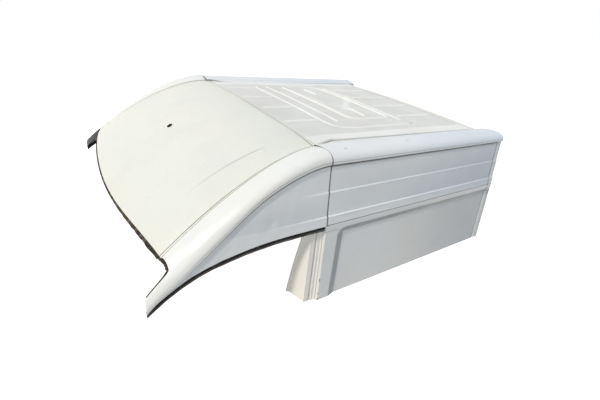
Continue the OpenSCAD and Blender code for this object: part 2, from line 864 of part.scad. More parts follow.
// Hat-section bow under the roof panel, with its flanges against the skin
bow_w = 60;
bow_flange = 15;
bow_depth = 25;
function bow_place(i) = mix(seam_back - bow_lead, roof_back + bow_tail, i / 2);
module roof_bow(x) {
    color(inner_grey) place() intersection() {
        union() {
            camber_band(x - bow_w / 2, x - bow_w / 2 + bow_flange + skin_t, skin_t, skin_t);
            camber_band(x + bow_w / 2 - bow_flange - skin_t, x + bow_w / 2, skin_t, skin_t);
            for (side = [-1, 1])
                camber_band(
                    x + side * (bow_w / 2 - bow_flange) - skin_t / 2,
                    x + side * (bow_w / 2 - bow_flange) + skin_t / 2,
                    skin_t, bow_depth - skin_t);
            camber_band(x - bow_w / 2 + bow_flange, x + bow_w / 2 - bow_flange, bow_depth - skin_t, skin_t);
        }
        translate([-far, -bow_half, 0]) cube([2 * far, 2 * bow_half, far]);
    }
}

// Rear header: the roof's last band, the step behind it and the box over the door
shelf_drop = 30;
header_depth = 62;
module rear_header() {
    web_edge = crease_half - 10;
    color(white) place() intersection() {
        union() {
            camber_band(header_back, roof_back, 1, skin_t);
            camber_band(header_back, header_back + skin_t, 1, shelf_drop);
            camber_band(-rear_len + 3, header_back, shelf_drop, skin_t);
            camber_band(-rear_len + 3, -rear_len + 3 + skin_t, shelf_drop, header_depth - shelf_drop);
            camber_band(-rear_len + 3, roof_back - 20, header_depth, skin_t);
            camber_band(roof_back - 23, roof_back - 20, skin_t + 1, header_depth - skin_t);
        }
        translate([-far, -web_edge, 0]) cube([2 * far, 2 * web_edge, far]);
    }
}

front_dome();
color(white) dome_strip();  // dome_strip_left
color(white) right() dome_strip();  // dome_strip_right
color(white) front_rail();  // front_rail_left
color(white) right() front_rail();  // front_rail_right
color(shade) front_side_panel();  // front_side_panel_left
color(shade) right() front_side_panel();  // front_side_panel_right
color(rubber) door_seal();  // door_seal_left
color(rubber) right() door_seal();  // door_seal_right
color(inner_grey) door_header();  // door_header_left
color(inner_grey) right() door_header();  // door_header_right
color(inner_grey) pillar_inner();  // pillar_inner_left
color(inner_grey) right() pillar_inner();  // pillar_inner_right
windscreen_header();
windscreen_seal();
color(rubber) pillar_bead();  // pillar_bead_left
color(rubber) right() pillar_bead();  // pillar_bead_right
roof_seam_strip();
roof_panel();
color(white) roof_ditch();  // roof_ditch_left
color(white) right() roof_ditch();  // roof_ditch_right
color(white) rear_rail();  // rear_rail_left
color(white) right() rear_rail();  // rear_rail_right
color(inner_grey) inner_rail();  // inner_rail_left
color(inner_grey) right() inner_rail();  // inner_rail_right
color(rubber) side_seam();  // side_seam_left
color(rubber) right() side_seam();  // side_seam_right
color(shade) upper_side_panel();  // upper_side_panel_left
color(shade) right() upper_side_panel();  // upper_side_panel_right
color(shade) lower_side_panel();  // lower_side_panel_left
color(shade) right() lower_side_panel();  // lower_side_panel_right
color(inner_grey) side_post();  // side_post_left
color(inner_grey) right() side_post();  // side_post_right
color(white) door_pillar();  // door_pillar_left
color(white) right() door_pillar();  // door_pillar_right
color(inner_grey) door_pillar_inner();  // door_pillar_inner_left
color(inner_grey) right() door_pillar_inner();  // door_pillar_inner_right
color(shade) rear_corner();  // rear_corner_left
color(shade) right() rear_corner();  // rear_corner_right
color(inner_grey) rear_pillar();  // rear_pillar_left
color(inner_grey) right() rear_pillar();  // rear_pillar_right
roof_bow(bow_place(0));  // roof_bow_front
roof_bow(bow_place(1));  // roof_bow_middle
roof_bow(bow_place(2));  // roof_bow_rear
rear_header();
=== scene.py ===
"""Looks of the cut-off high roof of a panel van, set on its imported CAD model.

Metres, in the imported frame: +X forward, +Y to the vehicle's left, +Z up from the bottom cut.
Surfaces are worked out with x = 0 at the joint between cab and load space, as in the CAD
source, and moved forward by SHIFT when they become meshes.
"""

import logging
import math
from collections.abc import Sequence
from dataclasses import dataclass, field
from enum import Enum

import bpy
import numpy as np
from mathutils import Matrix, Vector

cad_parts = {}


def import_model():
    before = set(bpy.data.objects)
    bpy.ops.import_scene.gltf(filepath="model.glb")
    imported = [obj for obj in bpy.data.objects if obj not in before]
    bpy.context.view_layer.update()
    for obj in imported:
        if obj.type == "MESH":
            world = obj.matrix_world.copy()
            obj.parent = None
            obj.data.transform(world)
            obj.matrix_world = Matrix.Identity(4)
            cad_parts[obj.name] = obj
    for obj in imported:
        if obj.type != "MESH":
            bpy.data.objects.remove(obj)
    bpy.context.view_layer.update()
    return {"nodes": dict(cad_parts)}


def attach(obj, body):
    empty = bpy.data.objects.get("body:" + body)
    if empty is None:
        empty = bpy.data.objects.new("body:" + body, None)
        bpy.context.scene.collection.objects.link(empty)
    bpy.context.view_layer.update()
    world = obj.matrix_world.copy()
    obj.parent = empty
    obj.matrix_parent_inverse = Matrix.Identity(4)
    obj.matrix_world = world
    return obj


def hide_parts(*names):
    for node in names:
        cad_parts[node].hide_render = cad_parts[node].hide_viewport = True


Array = np.ndarray
Socket = bpy.types.NodeSocket
log = logging.getLogger("high_roof")

SHIFT = 0.3265


class Side(Enum):
    """The vehicle's two sides, with the factor that takes a left point to that side."""

    LEFT = 1.0
    RIGHT = -1.0

    @property
    def word(self) -> str:
        """Gives the side's name as the CAD nodes spell it."""
        return self.name.lower()


# ---------------------------------------------------------------- numbers and curves


def mix(a: Array | float, b: Array | float, t: Array | float) -> Array | float:
    """Goes from a to b in a straight line as t goes from 0 to 1."""
    return a + (b - a) * t


def ramp(v: Array | float, low: float, high: float) -> Array:
    """Rises smoothly from 0 at low to 1 at high, by 3t² − 2t³."""
    t = np.clip((np.asarray(v, float) - low) / (high - low), 0.0, 1.0)
    return t * t * (3.0 - 2.0 * t)


def near(distance: Array | float, low: float, high: float) -> Array:
    """Gives 1 up to the distance low and falls smoothly to 0 at high."""
    return 1.0 - ramp(distance, low, high)


def bell(v: Array, width: float) -> Array:
    """Gives 1 at v = 0 and falls off on both sides as e^−(v / width)²."""
    return np.exp(-((v / width) ** 2))


def bezier(a: Array, b: Array, c: Array, d: Array, t: Array) -> Array:
    """Gives points of a cubic curve.

    The four corners are weighted (1−t)³, 3(1−t)²t, 3(1−t)t² and t³.

    Args:
        a: start corner, broadcast against t.
        b: corner that the start points to.
        c: corner that the end comes from.
        d: end corner.
        t: place along the curve, 0 to 1, with a last axis of length 1.

    Returns:
        The points, one for each t.
    """
    s = 1.0 - t
    return s**3 * a + 3 * s**2 * t * b + 3 * s * t**2 * c + t**3 * d


def grid(x: Array | float, y: Array | float, z: Array | float) -> Array:
    """Joins coordinates, spread over each other, to points with a last axis of 3."""
    return np.stack(np.broadcast_arrays(x, y, z), -1)


def stops(*parts: tuple[float, float, int]) -> Array:
    """Joins evenly spaced stretches (start, end, steps) into one rising list of stops."""
    pieces = [np.linspace(a, b, n, endpoint=False) for a, b, n in parts]
    return np.concatenate([*pieces, [parts[-1][1]]])


def graded(start: float, end: float, count: int, centres: Sequence[float], reach: float) -> Array:
    """Spreads stops from start to end, five times denser near some centres.

    Density is 1 + 4 e^−((place − nearest centre) / reach)²; the stops lie at equal shares
    of its running sum.

    Args:
        start: first stop.
        end: last stop.
        count: number of steps.
        centres: where the stops are dense.
        reach: half width of the dense stretches.

    Returns:
        The stops without the last one, as stops() continues them.
    """
    t = np.linspace(start, end, 4000)
    gap = np.min(np.abs(t[:, None] - np.asarray(centres)[None, :]), axis=1)
    total = np.cumsum(1 + 4 * bell(gap, reach))
    return np.interp(np.linspace(total[0], total[-1], count, endpoint=False), total, t)


def ripple(u: Array, v: Array, seed: float) -> Array:
    """Gives slow uneven waves between about −1 and 1.

    Three products of sines of u and v, whose rates have no common step.

    Args:
        u: first coordinate, stretched as the waves should be.
        v: second coordinate, likewise.
        seed: shifts the waves, so that no two pieces have the same.

    Returns:
        The height for each point.
    """
    return (
        np.sin(2.3 * u + seed) * np.sin(1.7 * v + 2.1 * seed)
        + 0.6 * np.sin(5.1 * u - 1.3 * seed) * np.sin(3.9 * v + 0.7 * seed)
        + 0.4 * np.sin(9.7 * u + 2.9 * seed + 1.9 * v)
    ) / 1.6


def spot(x: Array, y: Array, at: tuple[float, float], size: float) -> Array:
    """Gives 1 at a place and falls off as a bell curve of the given size."""
    return np.exp(-((x - at[0]) ** 2 + (y - at[1]) ** 2) / size**2)


@dataclass(frozen=True)
class RoofForm:
    """Main surfaces of the roof as the CAD source has them, in metres from the cab joint."""

    rear_len: float = 1.490
    nose_len: float = 0.821
    header_reach: float = 0.823
    header_bow: float = 0.088
    base_half: float = 0.954
    gutter_half: float = 0.900
    drip_half: float = 0.851
    gutter_z: float = 0.427
    drip_z: float = 0.723
    swage_low_z: float = 0.473
    swage_high_z: float = 0.593
    low_step: tuple[float, float] = (0.0055, 0.0040)
    high_step: tuple[float, float] = (0.0040, 0.0060)
    crease_half: float = 0.698
    crease_z: float = 0.754
    door_z: float = 0.425
    lip_w: float = 0.006
    skin: float = 0.003
    seam_w: float = 0.003
    ditch_z: float = 0.740
    ditch_w: float = 0.012
    corner_len: float = 0.055
    roof_front: float = -0.026
    roof_back: float = -1.357
    corner_reach: float = 0.016
    crease_spread: float = 0.103
    crease_fall: tuple[float, float] = (0.440, 1.68)
    drip_fall: tuple[float, float] = (0.498, 1.70)
    door_fall: tuple[float, float] = (0.209, 3.35)
    drip_sag: float = 0.020
    sweep_in: float = 0.030
    camber: tuple[float, float] = (0.020, 0.071)
    camber_run: float = 0.500
    camber_power: float = 4.5
    roof_camber: float = 0.014
    field_half: float = 0.570
    field_depth: float = 0.002
    strip_width: tuple[float, float] = (0.009, 0.025)
    rail_run: float = 0.250
    edge_dip: float = 0.012
    corner_s: float = 0.45
    pillar_s: float = 0.60

    @property
    def corner_x(self) -> float:
        """Where the windscreen edge meets the dome's side edges."""
        return self.header_reach - self.header_bow

    @property
    def panel_back(self) -> float:
        """Where the side panels end and the rear corner strips begin."""
        return -self.rear_len + self.corner_len

    def wall_y(self, z: Array) -> Array:
        """Half width of the wall: straight from base to gutter, and from gutter to drip line.

        Args:
            z: height.

        Returns:
            The half width for each height.
        """
        low = mix(self.base_half, self.gutter_half, z / self.gutter_z)
        up = (z - self.gutter_z) / (self.drip_z - self.gutter_z)
        return np.where(z < self.gutter_z, low, mix(self.gutter_half, self.drip_half, up))

    def steps(self, z: Array) -> tuple[Array, Array, Array]:
        """Gives where a height is on the upper wall.

        Args:
            z: height.

        Returns:
            How far it is up the wall, past the lower and past the upper step, each 0 to 1.
        """
        up = np.clip((z - self.gutter_z) / (self.drip_z - self.gutter_z), 0, 1)
        low = ramp(z - self.swage_low_z, -self.low_step[1] / 2, self.low_step[1] / 2)
        high = ramp(z - self.swage_high_z, -self.high_step[1] / 2, self.high_step[1] / 2)
        return up, low, high

    def step_push(
        self, z: Array, low_share: Array | float = 1.0, high_share: Array | float = 1.0
    ) -> Array:
        """Offset of the stepped wall from the plain one.

        Each step adds its depth × (share of the height − how far z is past the step), so
        that the wall stands out most under a step and is back on the plain one at both ends.

        Args:
            z: height.
            low_share: how much of the lower step is there, 0 to 1.
            high_share: the same for the upper step.

        Returns:
            The offset for each point.
        """
        up, low, high = self.steps(z)
        lower = self.low_step[0] * (up - low) * low_share
        return lower + self.high_step[0] * (up - high) * high_share

    def front_push(self, x: Array, z: Array) -> Array:
        """The same offset on the front panel, each step fading out forwards."""
        return self.step_push(z, np.clip(1 - x / 0.330, 0, 1), np.clip(1 - x / 0.166, 0, 1))

    def fall(self, x: Array, law: tuple[float, float]) -> Array:
        """Drop towards the nose by a law (depth, power): depth × (x / nose length) ^ power."""
        return law[0] * np.clip(x / self.nose_len, 0, 1.2) ** law[1]

    def crease_y(self, x: Array) -> Array:
        """Half width between the dome's side edges, spreading forwards."""
        return self.crease_half + self.crease_spread * x

    def crease_h(self, x: Array) -> Array:
        """Height of the dome's side edges."""
        return self.crease_z - self.fall(x, self.crease_fall)

    def drip_h(self, x: Array) -> Array:
        """Height of the drip line under the front rail, which sags a little ahead of x = 0.30."""
        sag = self.drip_sag * ramp(x, 0.30, 0.58) * near(x, 0.66, 0.80)
        return self.drip_z - self.fall(x, self.drip_fall) - sag

    def door_h(self, x: Array) -> Array:
        """Height of the door edge."""
        return self.door_z - self.fall(x, self.door_fall)

    def sweep(self, x: Array) -> Array:
        """Inward sweep of the wall towards the nose, growing with the square of x."""
        return self.sweep_in * (x / self.nose_len) ** 2

    def header_x(self, v: Array) -> Array:
        """Windscreen edge at the share v of the half width: a parabola."""
        return self.header_reach - self.header_bow * v**2

    def dome(self, x: Array, v: Array) -> Array:
        """Gives points of the dome.

        Height is that of the side edges plus a camber × (1 − |v|^4.5); the camber grows
        from 20 mm to 71 mm as a quarter sine over the first half metre.

        Args:
            x: distance ahead of the cab joint.
            v: share of the half width, −1 to 1.

        Returns:
            Points with the shape of x and a last axis of 3.
        """
        camber = mix(*self.camber, np.sin(np.pi / 2 * np.clip(x / self.camber_run, 0, 1)))
        z = self.crease_h(x) + camber * (1 - np.abs(v) ** self.camber_power)
        return grid(x, v * self.crease_y(x), z)

    def rail(self, x: Array, s: Array) -> Array:
        """Gives points of the front rail on the left side.

        At each x a cubic curve in (y, z) runs from the dome's edge, s = 0, to the lip over
        the drip line, s = 1; its pull arms shrink towards the nose.

        Args:
            x: distance ahead of the cab joint.
            s: place over the rail, 0 to 1.

        Returns:
            Points with the shape of x and a last axis of 3.
        """
        x, s = np.broadcast_arrays(np.asarray(x, float), np.asarray(s, float))
        k = np.clip(x / self.nose_len, 0, 1)[..., None]
        start = np.stack([self.crease_y(x), self.crease_h(x)], -1)
        foot = self.wall_y(self.drip_h(x)) - self.sweep(x) + self.lip_w
        end = np.stack([foot, self.drip_h(x)], -1)
        pull = mix(np.array([0.077, 0.031]), np.array([0.050, 0.005]), k)
        bulge = mix(np.array([0.005, 0.068]), np.array([0.003, 0.050]), k)
        p = bezier(start, start + pull, end + bulge, end, s[..., None])
        return np.concatenate([x[..., None], p], -1)

    def rail_front(self, s: Array) -> Array:
        """Windscreen and pillar edge of the rail.

        It dips by a quarter sine of 12 mm up to s = 0.45, swings forward by a fifth power
        to s = 0.60 and then stays at the cut ends.

        Args:
            s: place over the rail, 0 to 1.

        Returns:
            The distance ahead of the cab joint for each place.
        """
        edge = self.corner_x - self.edge_dip * np.sin(np.pi / 2 * np.clip(s / self.corner_s, 0, 1))
        turn = np.clip((s - self.corner_s) / (self.pillar_s - self.corner_s), 0, 1) ** 5
        return mix(edge, self.nose_len, turn)

    def strip_share(self, x: Array) -> Array:
        """Share of the rail's section that the joint strip beside the dome takes."""
        return mix(*self.strip_width, np.clip(x / self.corner_x, 0, 1)) / self.rail_run

    def rear_rail(self, t: Array) -> Array:
        """Rail section behind the cab joint, a cubic curve from ditch to lip.

        Args:
            t: place over the rail, 0 to 1.

        Returns:
            Points (y, z), with the shape of t and a last axis of 2.
        """
        start = np.array([0.640, self.crease_z - 0.010])
        end = np.array([self.drip_half + self.lip_w, self.drip_z])
        return bezier(start, start + [0.100, 0.038], end + [0.005, 0.068], end, t[..., None])

    def ditch_y(self, x: Array, inboard: float = 0.0) -> Array:
        """Half width of the ditch's outer edge in plan, or of a line inboard of it.

        The line is straight between five points and jogs outwards near the cab joint.

        Args:
            x: distance ahead of the cab joint.
            inboard: how far the line lies inboard of the outer edge.

        Returns:
            The half width for each x.
        """
        jog = inboard * 1.09
        xs = np.array([-self.rear_len, -1.390, -0.159 + 0.2 * inboard, -0.044 + 0.2 * inboard, 0.0])
        ys = np.array([0.683, 0.681, 0.653, 0.702, 0.702]) - inboard
        ys[2] += inboard - jog
        return np.interp(x, xs, ys)

    def jog(self, x: Array) -> Array:
        """Gives 1 along the jog near the cab joint, where painted shade lies in the ditch, and 0
        behind it.
        """
        return near(-x, 0.150, 0.200)

    def roof_h(self, y: Array) -> Array:
        """Height of the roof panel, with a field sunk by 2 mm."""
        sunk = ramp(self.field_half - np.abs(y), -0.003, 0.003)
        return self.plain_roof(y) - self.field_depth * sunk

    def plain_roof(self, y: Array) -> Array:
        """Height of the roof without its field: a parabola 14 mm high."""
        return self.crease_z + self.roof_camber * (1 - (y / 0.690) ** 2)


FORM = RoofForm()
# One sheet's thickness across a side wall
WALL_SHEET = np.array([0.0, FORM.skin, 0.0])
# The roof and the rail turn down into the ditch over this much, with this much cut off
DITCH_CORNER, DITCH_CHAMFER = 0.004, 0.0012
# Dirt in the seam across the roof is full up to the first distance and gone at the second
SEAM_DIRT = (0.0010, 0.0034)


# ---------------------------------------------------------------- meshes


@dataclass
class Shell:
    """A closed mesh as arrays, with values of dirt and painted light and of painted shade for each
    point.
    """

    points: Array
    quads: Array
    caps: list[list[int]] = field(default_factory=list)
    dirt_and_painted_light: Array | None = None
    film: Array | None = None

    def turned_outwards(self) -> "Shell":
        """Turns the faces round where they point inwards.

        The signed volume is the sum over triangles a, b, c of a · (b × c) / 6.

        Returns:
            This shell, or one with every face reversed.
        """
        corners = [self.points[self.quads[:, k]] for k in range(4)]
        a, b, c, d = corners
        total = np.sum(a * np.cross(b, c)) + np.sum(a * np.cross(c, d))
        for cap in self.caps:
            ring = self.points[cap]
            total += np.sum(ring[0] * np.cross(ring[1:-1], ring[2:]))
        if total > 0:
            return self
        caps = [cap[::-1] for cap in self.caps]
        return Shell(self.points, self.quads[:, ::-1], caps, self.dirt_and_painted_light, self.film)

    def mirrored(self, side: Side) -> "Shell":
        """Gives the shell for one side, from one worked out on the left."""
        flipped = self.points * np.array([1.0, side.value, 1.0])
        return Shell(flipped, self.quads, self.caps, self.dirt_and_painted_light, self.film).turned_outwards()


def grid_normals(points: Array) -> Array:
    """Unit normals of a grid: the cross product of its two difference vectors."""
    n = np.cross(np.gradient(points, axis=0), np.gradient(points, axis=1))
    return n / np.maximum(np.linalg.norm(n, axis=-1, keepdims=True), 1e-12)


def inner_grid(outer: Array, thickness: float, centre: Sequence[float]) -> Array:
    """Moves a grid of points along its normals towards a centre.

    Args:
        outer: grid of points (rows, columns, 3).
        thickness: how far they move.
        centre: a place on the side that they move to.

    Returns:
        The moved grid.
    """
    n = grid_normals(outer)
    facing = np.sign(np.sum(n * (outer - np.asarray(centre, float))))
    return outer - facing * thickness * n


def sheet(
    outer: Array, inner: Array, dirt_and_painted_light: Array | None = None, film: Array | None = None
) -> Shell:
    """Closes two equal grids of points to a sheet.

    Four-sided faces cover both grids, and a wall joins their borders.

    Args:
        outer: grid of points (rows, columns, 3).
        inner: the same grid on the sheet's other face.
        dirt_and_painted_light: dirt in seams and chips with painted shade and highlight, for
            each grid point, used on both faces.
        film: painted shade for each grid point, used the same way.

    Returns:
        The closed shell, faces outwards.
    """
    n, m = outer.shape[:2]
    count = n * m
    i = np.arange(count).reshape(n, m)
    top = np.stack([i[:-1, :-1], i[1:, :-1], i[1:, 1:], i[:-1, 1:]], -1).reshape(-1, 4)
    ring = np.concatenate([i[0, :-1], i[:-1, -1], i[-1, :0:-1], i[:0:-1, 0]])
    after = np.roll(ring, -1)
    wall = np.stack([ring, after, after + count, ring + count], -1)
    points = np.concatenate([outer.reshape(-1, 3), inner.reshape(-1, 3)])
    spread = [np.broadcast_to(0.0 if v is None else v, (n, m)) for v in (dirt_and_painted_light, film)]
    dirt, painted_shade_tiled = [np.tile(np.clip(v, 0, 1).ravel(), 2) for v in spread]
    faces = np.concatenate([top, top[:, ::-1] + count, wall])
    return Shell(points, faces, dirt_and_painted_light=dirt, film=painted_shade_tiled).turned_outwards()


def bar(rings: Array, dirt_and_painted_light: Array | None = None) -> Shell:
    """Closes a row of closed rings of points to a bar with a cap at each end.

    Args:
        rings: points (ring, point in ring, 3).
        dirt_and_painted_light: dirt with painted shade and highlight for each point.

    Returns:
        The closed shell, faces outwards.
    """
    n, m = rings.shape[:2]
    i = np.arange(n * m).reshape(n, m)
    j = np.roll(i, -1, axis=1)
    quads = np.stack([i[:-1], j[:-1], j[1:], i[1:]], -1).reshape(-1, 4)
    caps = [i[0, ::-1].tolist(), i[-1].tolist()]
    dirt = np.clip(np.broadcast_to(0.0 if dirt_and_painted_light is None else dirt_and_painted_light, (n, m)), 0, 1).ravel()
    return Shell(rings.reshape(-1, 3), quads, caps, dirt).turned_outwards()


def add_mesh(name: str, points: Array, faces: list[list[int]]) -> bpy.types.Object:
    """Adds an object with a mesh of its own to the scene.

    Args:
        name: name of the object and the mesh.
        points: the points, (count, 3).
        faces: for each face, the numbers of its points.

    Returns:
        The object.
    """
    mesh = bpy.data.meshes.new(name)
    mesh.from_pydata(points.tolist(), [], faces)
    added = bpy.data.objects.new(name, mesh)
    bpy.context.scene.collection.objects.link(added)
    return added


def show(
    shell: Shell,
    name: str,
    finish: "Finish",
    nodes: Sequence[str],
    angle: float = 35.0,
    mirrored: Side = Side.LEFT,
) -> bpy.types.Object:
    """Turns a shell into a piece that rides on the body and stands for CAD nodes.

    Args:
        shell: the closed mesh, with x counted from the cab joint.
        name: the piece's name.
        finish: what it is painted or made of.
        nodes: the CAD nodes that it stands for.
        angle: edges sharper than this many degrees stay sharp.
        mirrored: the side that the piece is for.

    Returns:
        The new object.
    """
    shell = shell.mirrored(mirrored)
    points = shell.points + np.array([SHIFT, 0.0, 0.0])
    piece = add_mesh(name, points, [*shell.quads.tolist(), *shell.caps])
    mesh = piece.data
    # The paint reads two values: dirt with painted shade and highlight, and painted shade.
    for word, values in (("dirt_and_painted_light", shell.dirt_and_painted_light), ("film", shell.film)):
        layer = mesh.attributes.new(word, "FLOAT", "POINT")
        kept = np.zeros(len(points)) if values is None else values
        layer.data.foreach_set("value", kept.astype(np.float32))
    mesh.validate()
    mesh.update()
    mesh.shade_smooth()
    mesh.set_sharp_from_angle(angle=math.radians(angle))
    mesh.materials.append(finish.material())
    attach(piece, "root")
    if nodes:
        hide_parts(*nodes)
    log.info("%s: %d points, %d faces", name, len(points), len(mesh.polygons))
    return piece


# ---------------------------------------------------------------- finishes


def linear(code: str) -> tuple[float, float, float, float]:
    """Turns a hex colour of the screen into the linear colour that shaders use.

    Each part is v / 12.92 up to 0.04045 and ((v + 0.055) / 1.055)^2.4 above it.

    Args:
        code: six hex digits.

    Returns:
        Red, green, blue and full alpha.
    """
    parts = [int(code[k : k + 2], 16) / 255 for k in (0, 2, 4)]
    red, green, blue = [v / 12.92 if v <= 0.04045 else ((v + 0.055) / 1.055) ** 2.4 for v in parts]
    return red, green, blue, 1.0


def add_node(
    tree: bpy.types.NodeTree,
    kind: str,
    inputs: dict[int | str, object] | None = None,
    **settings: object,
) -> bpy.types.Node:
    """Adds one node with its settings, and fills or links its inputs.

    Args:
        tree: the material's or world's node tree.
        kind: the node's type name.
        inputs: for each input, a value or the socket that feeds it.
        **settings: properties of the node.

    Returns:
        The node.
    """
    node = tree.nodes.new(kind)
    for key, value in settings.items():
        setattr(node, key, value)
    for key, value in (inputs or {}).items():
        if isinstance(value, bpy.types.NodeSocket):
            tree.links.new(value, node.inputs[key])
        else:
            node.inputs[key].default_value = value
    return node


@dataclass(frozen=True)
class Pattern:
    """A noise pattern: its size in metres, its detail, where it sets in and is full, its share."""

    size: float
    detail: float
    sets_in: float
    is_full: float
    share: float
    stretch: float = 1.0


@dataclass(frozen=True)
class Relief:
    """A fine relief: the width and depth of its bumps in metres, its detail and strength."""

    size: float
    detail: float
    depth: float
    strength: float = 1.0


@dataclass(frozen=True)
class Finish:
    """A finish with its material's name, a slot name that is not used, and its base colour."""

    name: str
    slot: str
    base: str

    def material(self) -> bpy.types.Material:
        """Makes the finish's material on first use.

        Returns:
            The material.
        """
        found = bpy.data.materials.get(self.name)
        if found is not None:
            return found
        made = bpy.data.materials.new(self.name)
        made.use_nodes = True
        made.node_tree.nodes.clear()
        shader = self.shader(made.node_tree)
        add_node(made.node_tree, "ShaderNodeOutputMaterial", {"Surface": shader})
        return made

    def shader(self, tree: bpy.types.NodeTree) -> Socket:
        """Builds the nodes and gives the surface socket."""
        raise NotImplementedError

    def cloud(
        self, tree: bpy.types.NodeTree, size: float, detail: float, stretch: float = 1.0
    ) -> Socket:
        """Builds a noise over the object's coordinates.

        Args:
            tree: the material's node tree.
            size: about how wide its blotches are, in metres.
            detail: how many finer layers lie over them.
            stretch: how many times as tall as wide they are.

        Returns:
            The noise, 0 to 1.
        """
        place = add_node(tree, "ShaderNodeTexCoord").outputs["Object"]
        shape = add_node(tree, "ShaderNodeMapping", {"Vector": place, "Scale": (1, 1, 1 / stretch)})
        noise = {"Vector": shape.outputs[0], "Scale": 1 / size, "Detail": detail}
        return add_node(tree, "ShaderNodeTexNoise", noise).outputs[0]

    def stained(
        self, tree: bpy.types.NodeTree, stains: Sequence[tuple[str, Pattern | str]]
    ) -> Socket:
        """Lays stains and painted shade over the base colour, one after the other.

        Args:
            tree: the material's node tree.
            stains: for each, its hex colour and where it lies: a pattern, or the name of a
                value that the mesh carries.

        Returns:
            The colour.
        """
        colour: Socket | tuple[float, ...] = linear(self.base)
        for over, where in stains:
            if isinstance(where, str):
                share = add_node(tree, "ShaderNodeAttribute", attribute_name=where).outputs["Fac"]
            else:
                noise = self.cloud(tree, where.size, where.detail, where.stretch)
                ends = {0: noise, 1: where.sets_in, 2: where.is_full, 3: 0.0, 4: where.share}
                share = add_node(tree, "ShaderNodeMapRange", ends).outputs[0]
            pair = {0: share, 6: colour, 7: linear(over)}
            colour = add_node(tree, "ShaderNodeMix", pair, data_type="RGBA").outputs[2]
        return colour

    def bumps(self, tree: bpy.types.NodeTree, reliefs: Sequence[Relief]) -> Socket:
        """Lays reliefs over each other.

        Args:
            tree: the material's node tree.
            reliefs: the reliefs, the finest first.

        Returns:
            The normal.
        """
        normal = None
        for form in reliefs:
            height = self.cloud(tree, form.size, form.detail)
            inputs = {"Height": height, "Distance": form.depth, "Strength": form.strength}
            if normal is not None:
                inputs["Normal"] = normal
            normal = add_node(tree, "ShaderNodeBump", inputs).outputs[0]
        return normal


@dataclass(frozen=True)
class AgedEnamel(Finish):
    """Sprayed alkyd enamel on pressed steel, twenty years in the open.

    To the eye: a pale coat with a soft gloss, large faint blotches of yellowed and greyed
    paint, small specks of dirt, rain streaks on the walls, dark dirt in the seams, painted
    shade in grooves, creases and under the drip lines, and a painted blue-grey shade that
    grows rearwards and in the pressed recesses.
    """

    blotch: str = "F1ECDD"
    shade: str = "DDDFDF"
    speck: str = "A99F8C"
    # Colour of the dirt and of the painted shade that the mesh's first value carries.
    dirt: str = "46443F"
    # Colour of the painted shade.
    film: str = "8C9CA9"
    streak: float = 0.10
    speck_share: float = 0.35
    roughness: float = 0.36
    dent: float = 0.0012

    def shader(self, tree: bpy.types.NodeTree) -> Socket:
        """Builds blotches 350 and 220 mm wide, streaks, specks, painted shade, dirt and an orange
        peel.

        Args:
            tree: the material's node tree.

        Returns:
            The surface.
        """
        colour = self.stained(
            tree,
            (
                (self.blotch, Pattern(0.350, 3, 0.40, 0.80, 0.70)),
                (self.shade, Pattern(0.220, 5, 0.50, 0.90, 0.45)),
                # Rain streaks are 18 mm wide and 14 times as long
                (self.speck, Pattern(0.018, 4, 0.52, 0.80, self.streak, 14.0)),
                # Real specks are 1 to 3 mm; they are drawn 4 mm wide so that they show
                (self.speck, Pattern(0.009, 2, 0.69, 0.75, self.speck_share)),
                # Painted shade, from the mesh's second value.
                (self.film, "film"),
                # Dirt, with painted shade in grooves and under drip lines, from the mesh's first
                # value.
                (self.dirt, "dirt_and_painted_light"),
            ),
        )
        # The gloss differs in clouds 120 mm wide
        dull, glossy = self.roughness + 0.12, self.roughness - 0.06
        worn = {0: self.cloud(tree, 0.12, 4), 1: 0.3, 2: 0.75, 3: glossy, 4: dull}
        gloss = add_node(tree, "ShaderNodeMapRange", worn).outputs[0]
        # Orange peel is 1 to 2 mm on the real coat, drawn at 5 mm; the sheet's dents are 160 mm
        normal = self.bumps(tree, (Relief(0.005, 1, 0.00008), Relief(0.160, 2, self.dent)))
        inputs = {"Base Color": colour, "Roughness": gloss, "IOR": 1.50, "Normal": normal}
        return add_node(tree, "ShaderNodeBsdfPrincipled", inputs).outputs[0]


@dataclass(frozen=True)
class MattCoat(Finish):
    """A dull material: one colour with stains over it and a fine relief."""

    stains: tuple[tuple[str, Pattern | str], ...]
    form: Relief
    roughness: float
    optics: tuple[str, float] = ("IOR", 1.50)

    def shader(self, tree: bpy.types.NodeTree) -> Socket:
        """Builds the stains and the relief.

        Args:
            tree: the material's node tree.

        Returns:
            The surface.
        """
        inputs = {
            "Base Color": self.stained(tree, self.stains),
            "Roughness": self.roughness,
            self.optics[0]: self.optics[1],
            "Normal": self.bumps(tree, (self.form,)),
        }
        return add_node(tree, "ShaderNodeBsdfPrincipled", inputs).outputs[0]


OUTER = AgedEnamel("aged_enamel_outer", "outer_paint", "EEEFE4", streak=0.02)
SHOULDER = AgedEnamel(
    "aged_enamel_front_rail", "outer_paint", "F6F7F3", blotch="F3F1E8", streak=0.02
)
# The rear rail's blue tint, growing rearwards, is painted sky shade.
RAIL = AgedEnamel(
    "enamel_with_painted_sky_shade_rear_rail",
    "outer_paint",
    "F3F4F3",
    blotch="EFF1F1",
    shade="E6E9EC",
    film="B9CFE4",
    streak=0.0,
)
# The walls' blue-grey tint, growing rearwards, downwards and on the bevels, is painted shade.
WALL = AgedEnamel(
    "aged_enamel_wall",
    "side_paint",
    "F7FAFA",
    blotch="EFF1EF",
    shade="E7EDF0",
    film="8CA0B4",
    streak=0.035,
    speck_share=0.20,
)
# The lower walls' blue-grey tint, on the bevel and rearwards on the blank, is painted shade.
LOWER = AgedEnamel(
    "aged_enamel_lower_wall",
    "side_paint",
    "F1F4F4",
    blotch="F2F0EA",
    shade="E6E9EA",
    film="85909A",
    streak=0.035,
    speck_share=0.20,
)
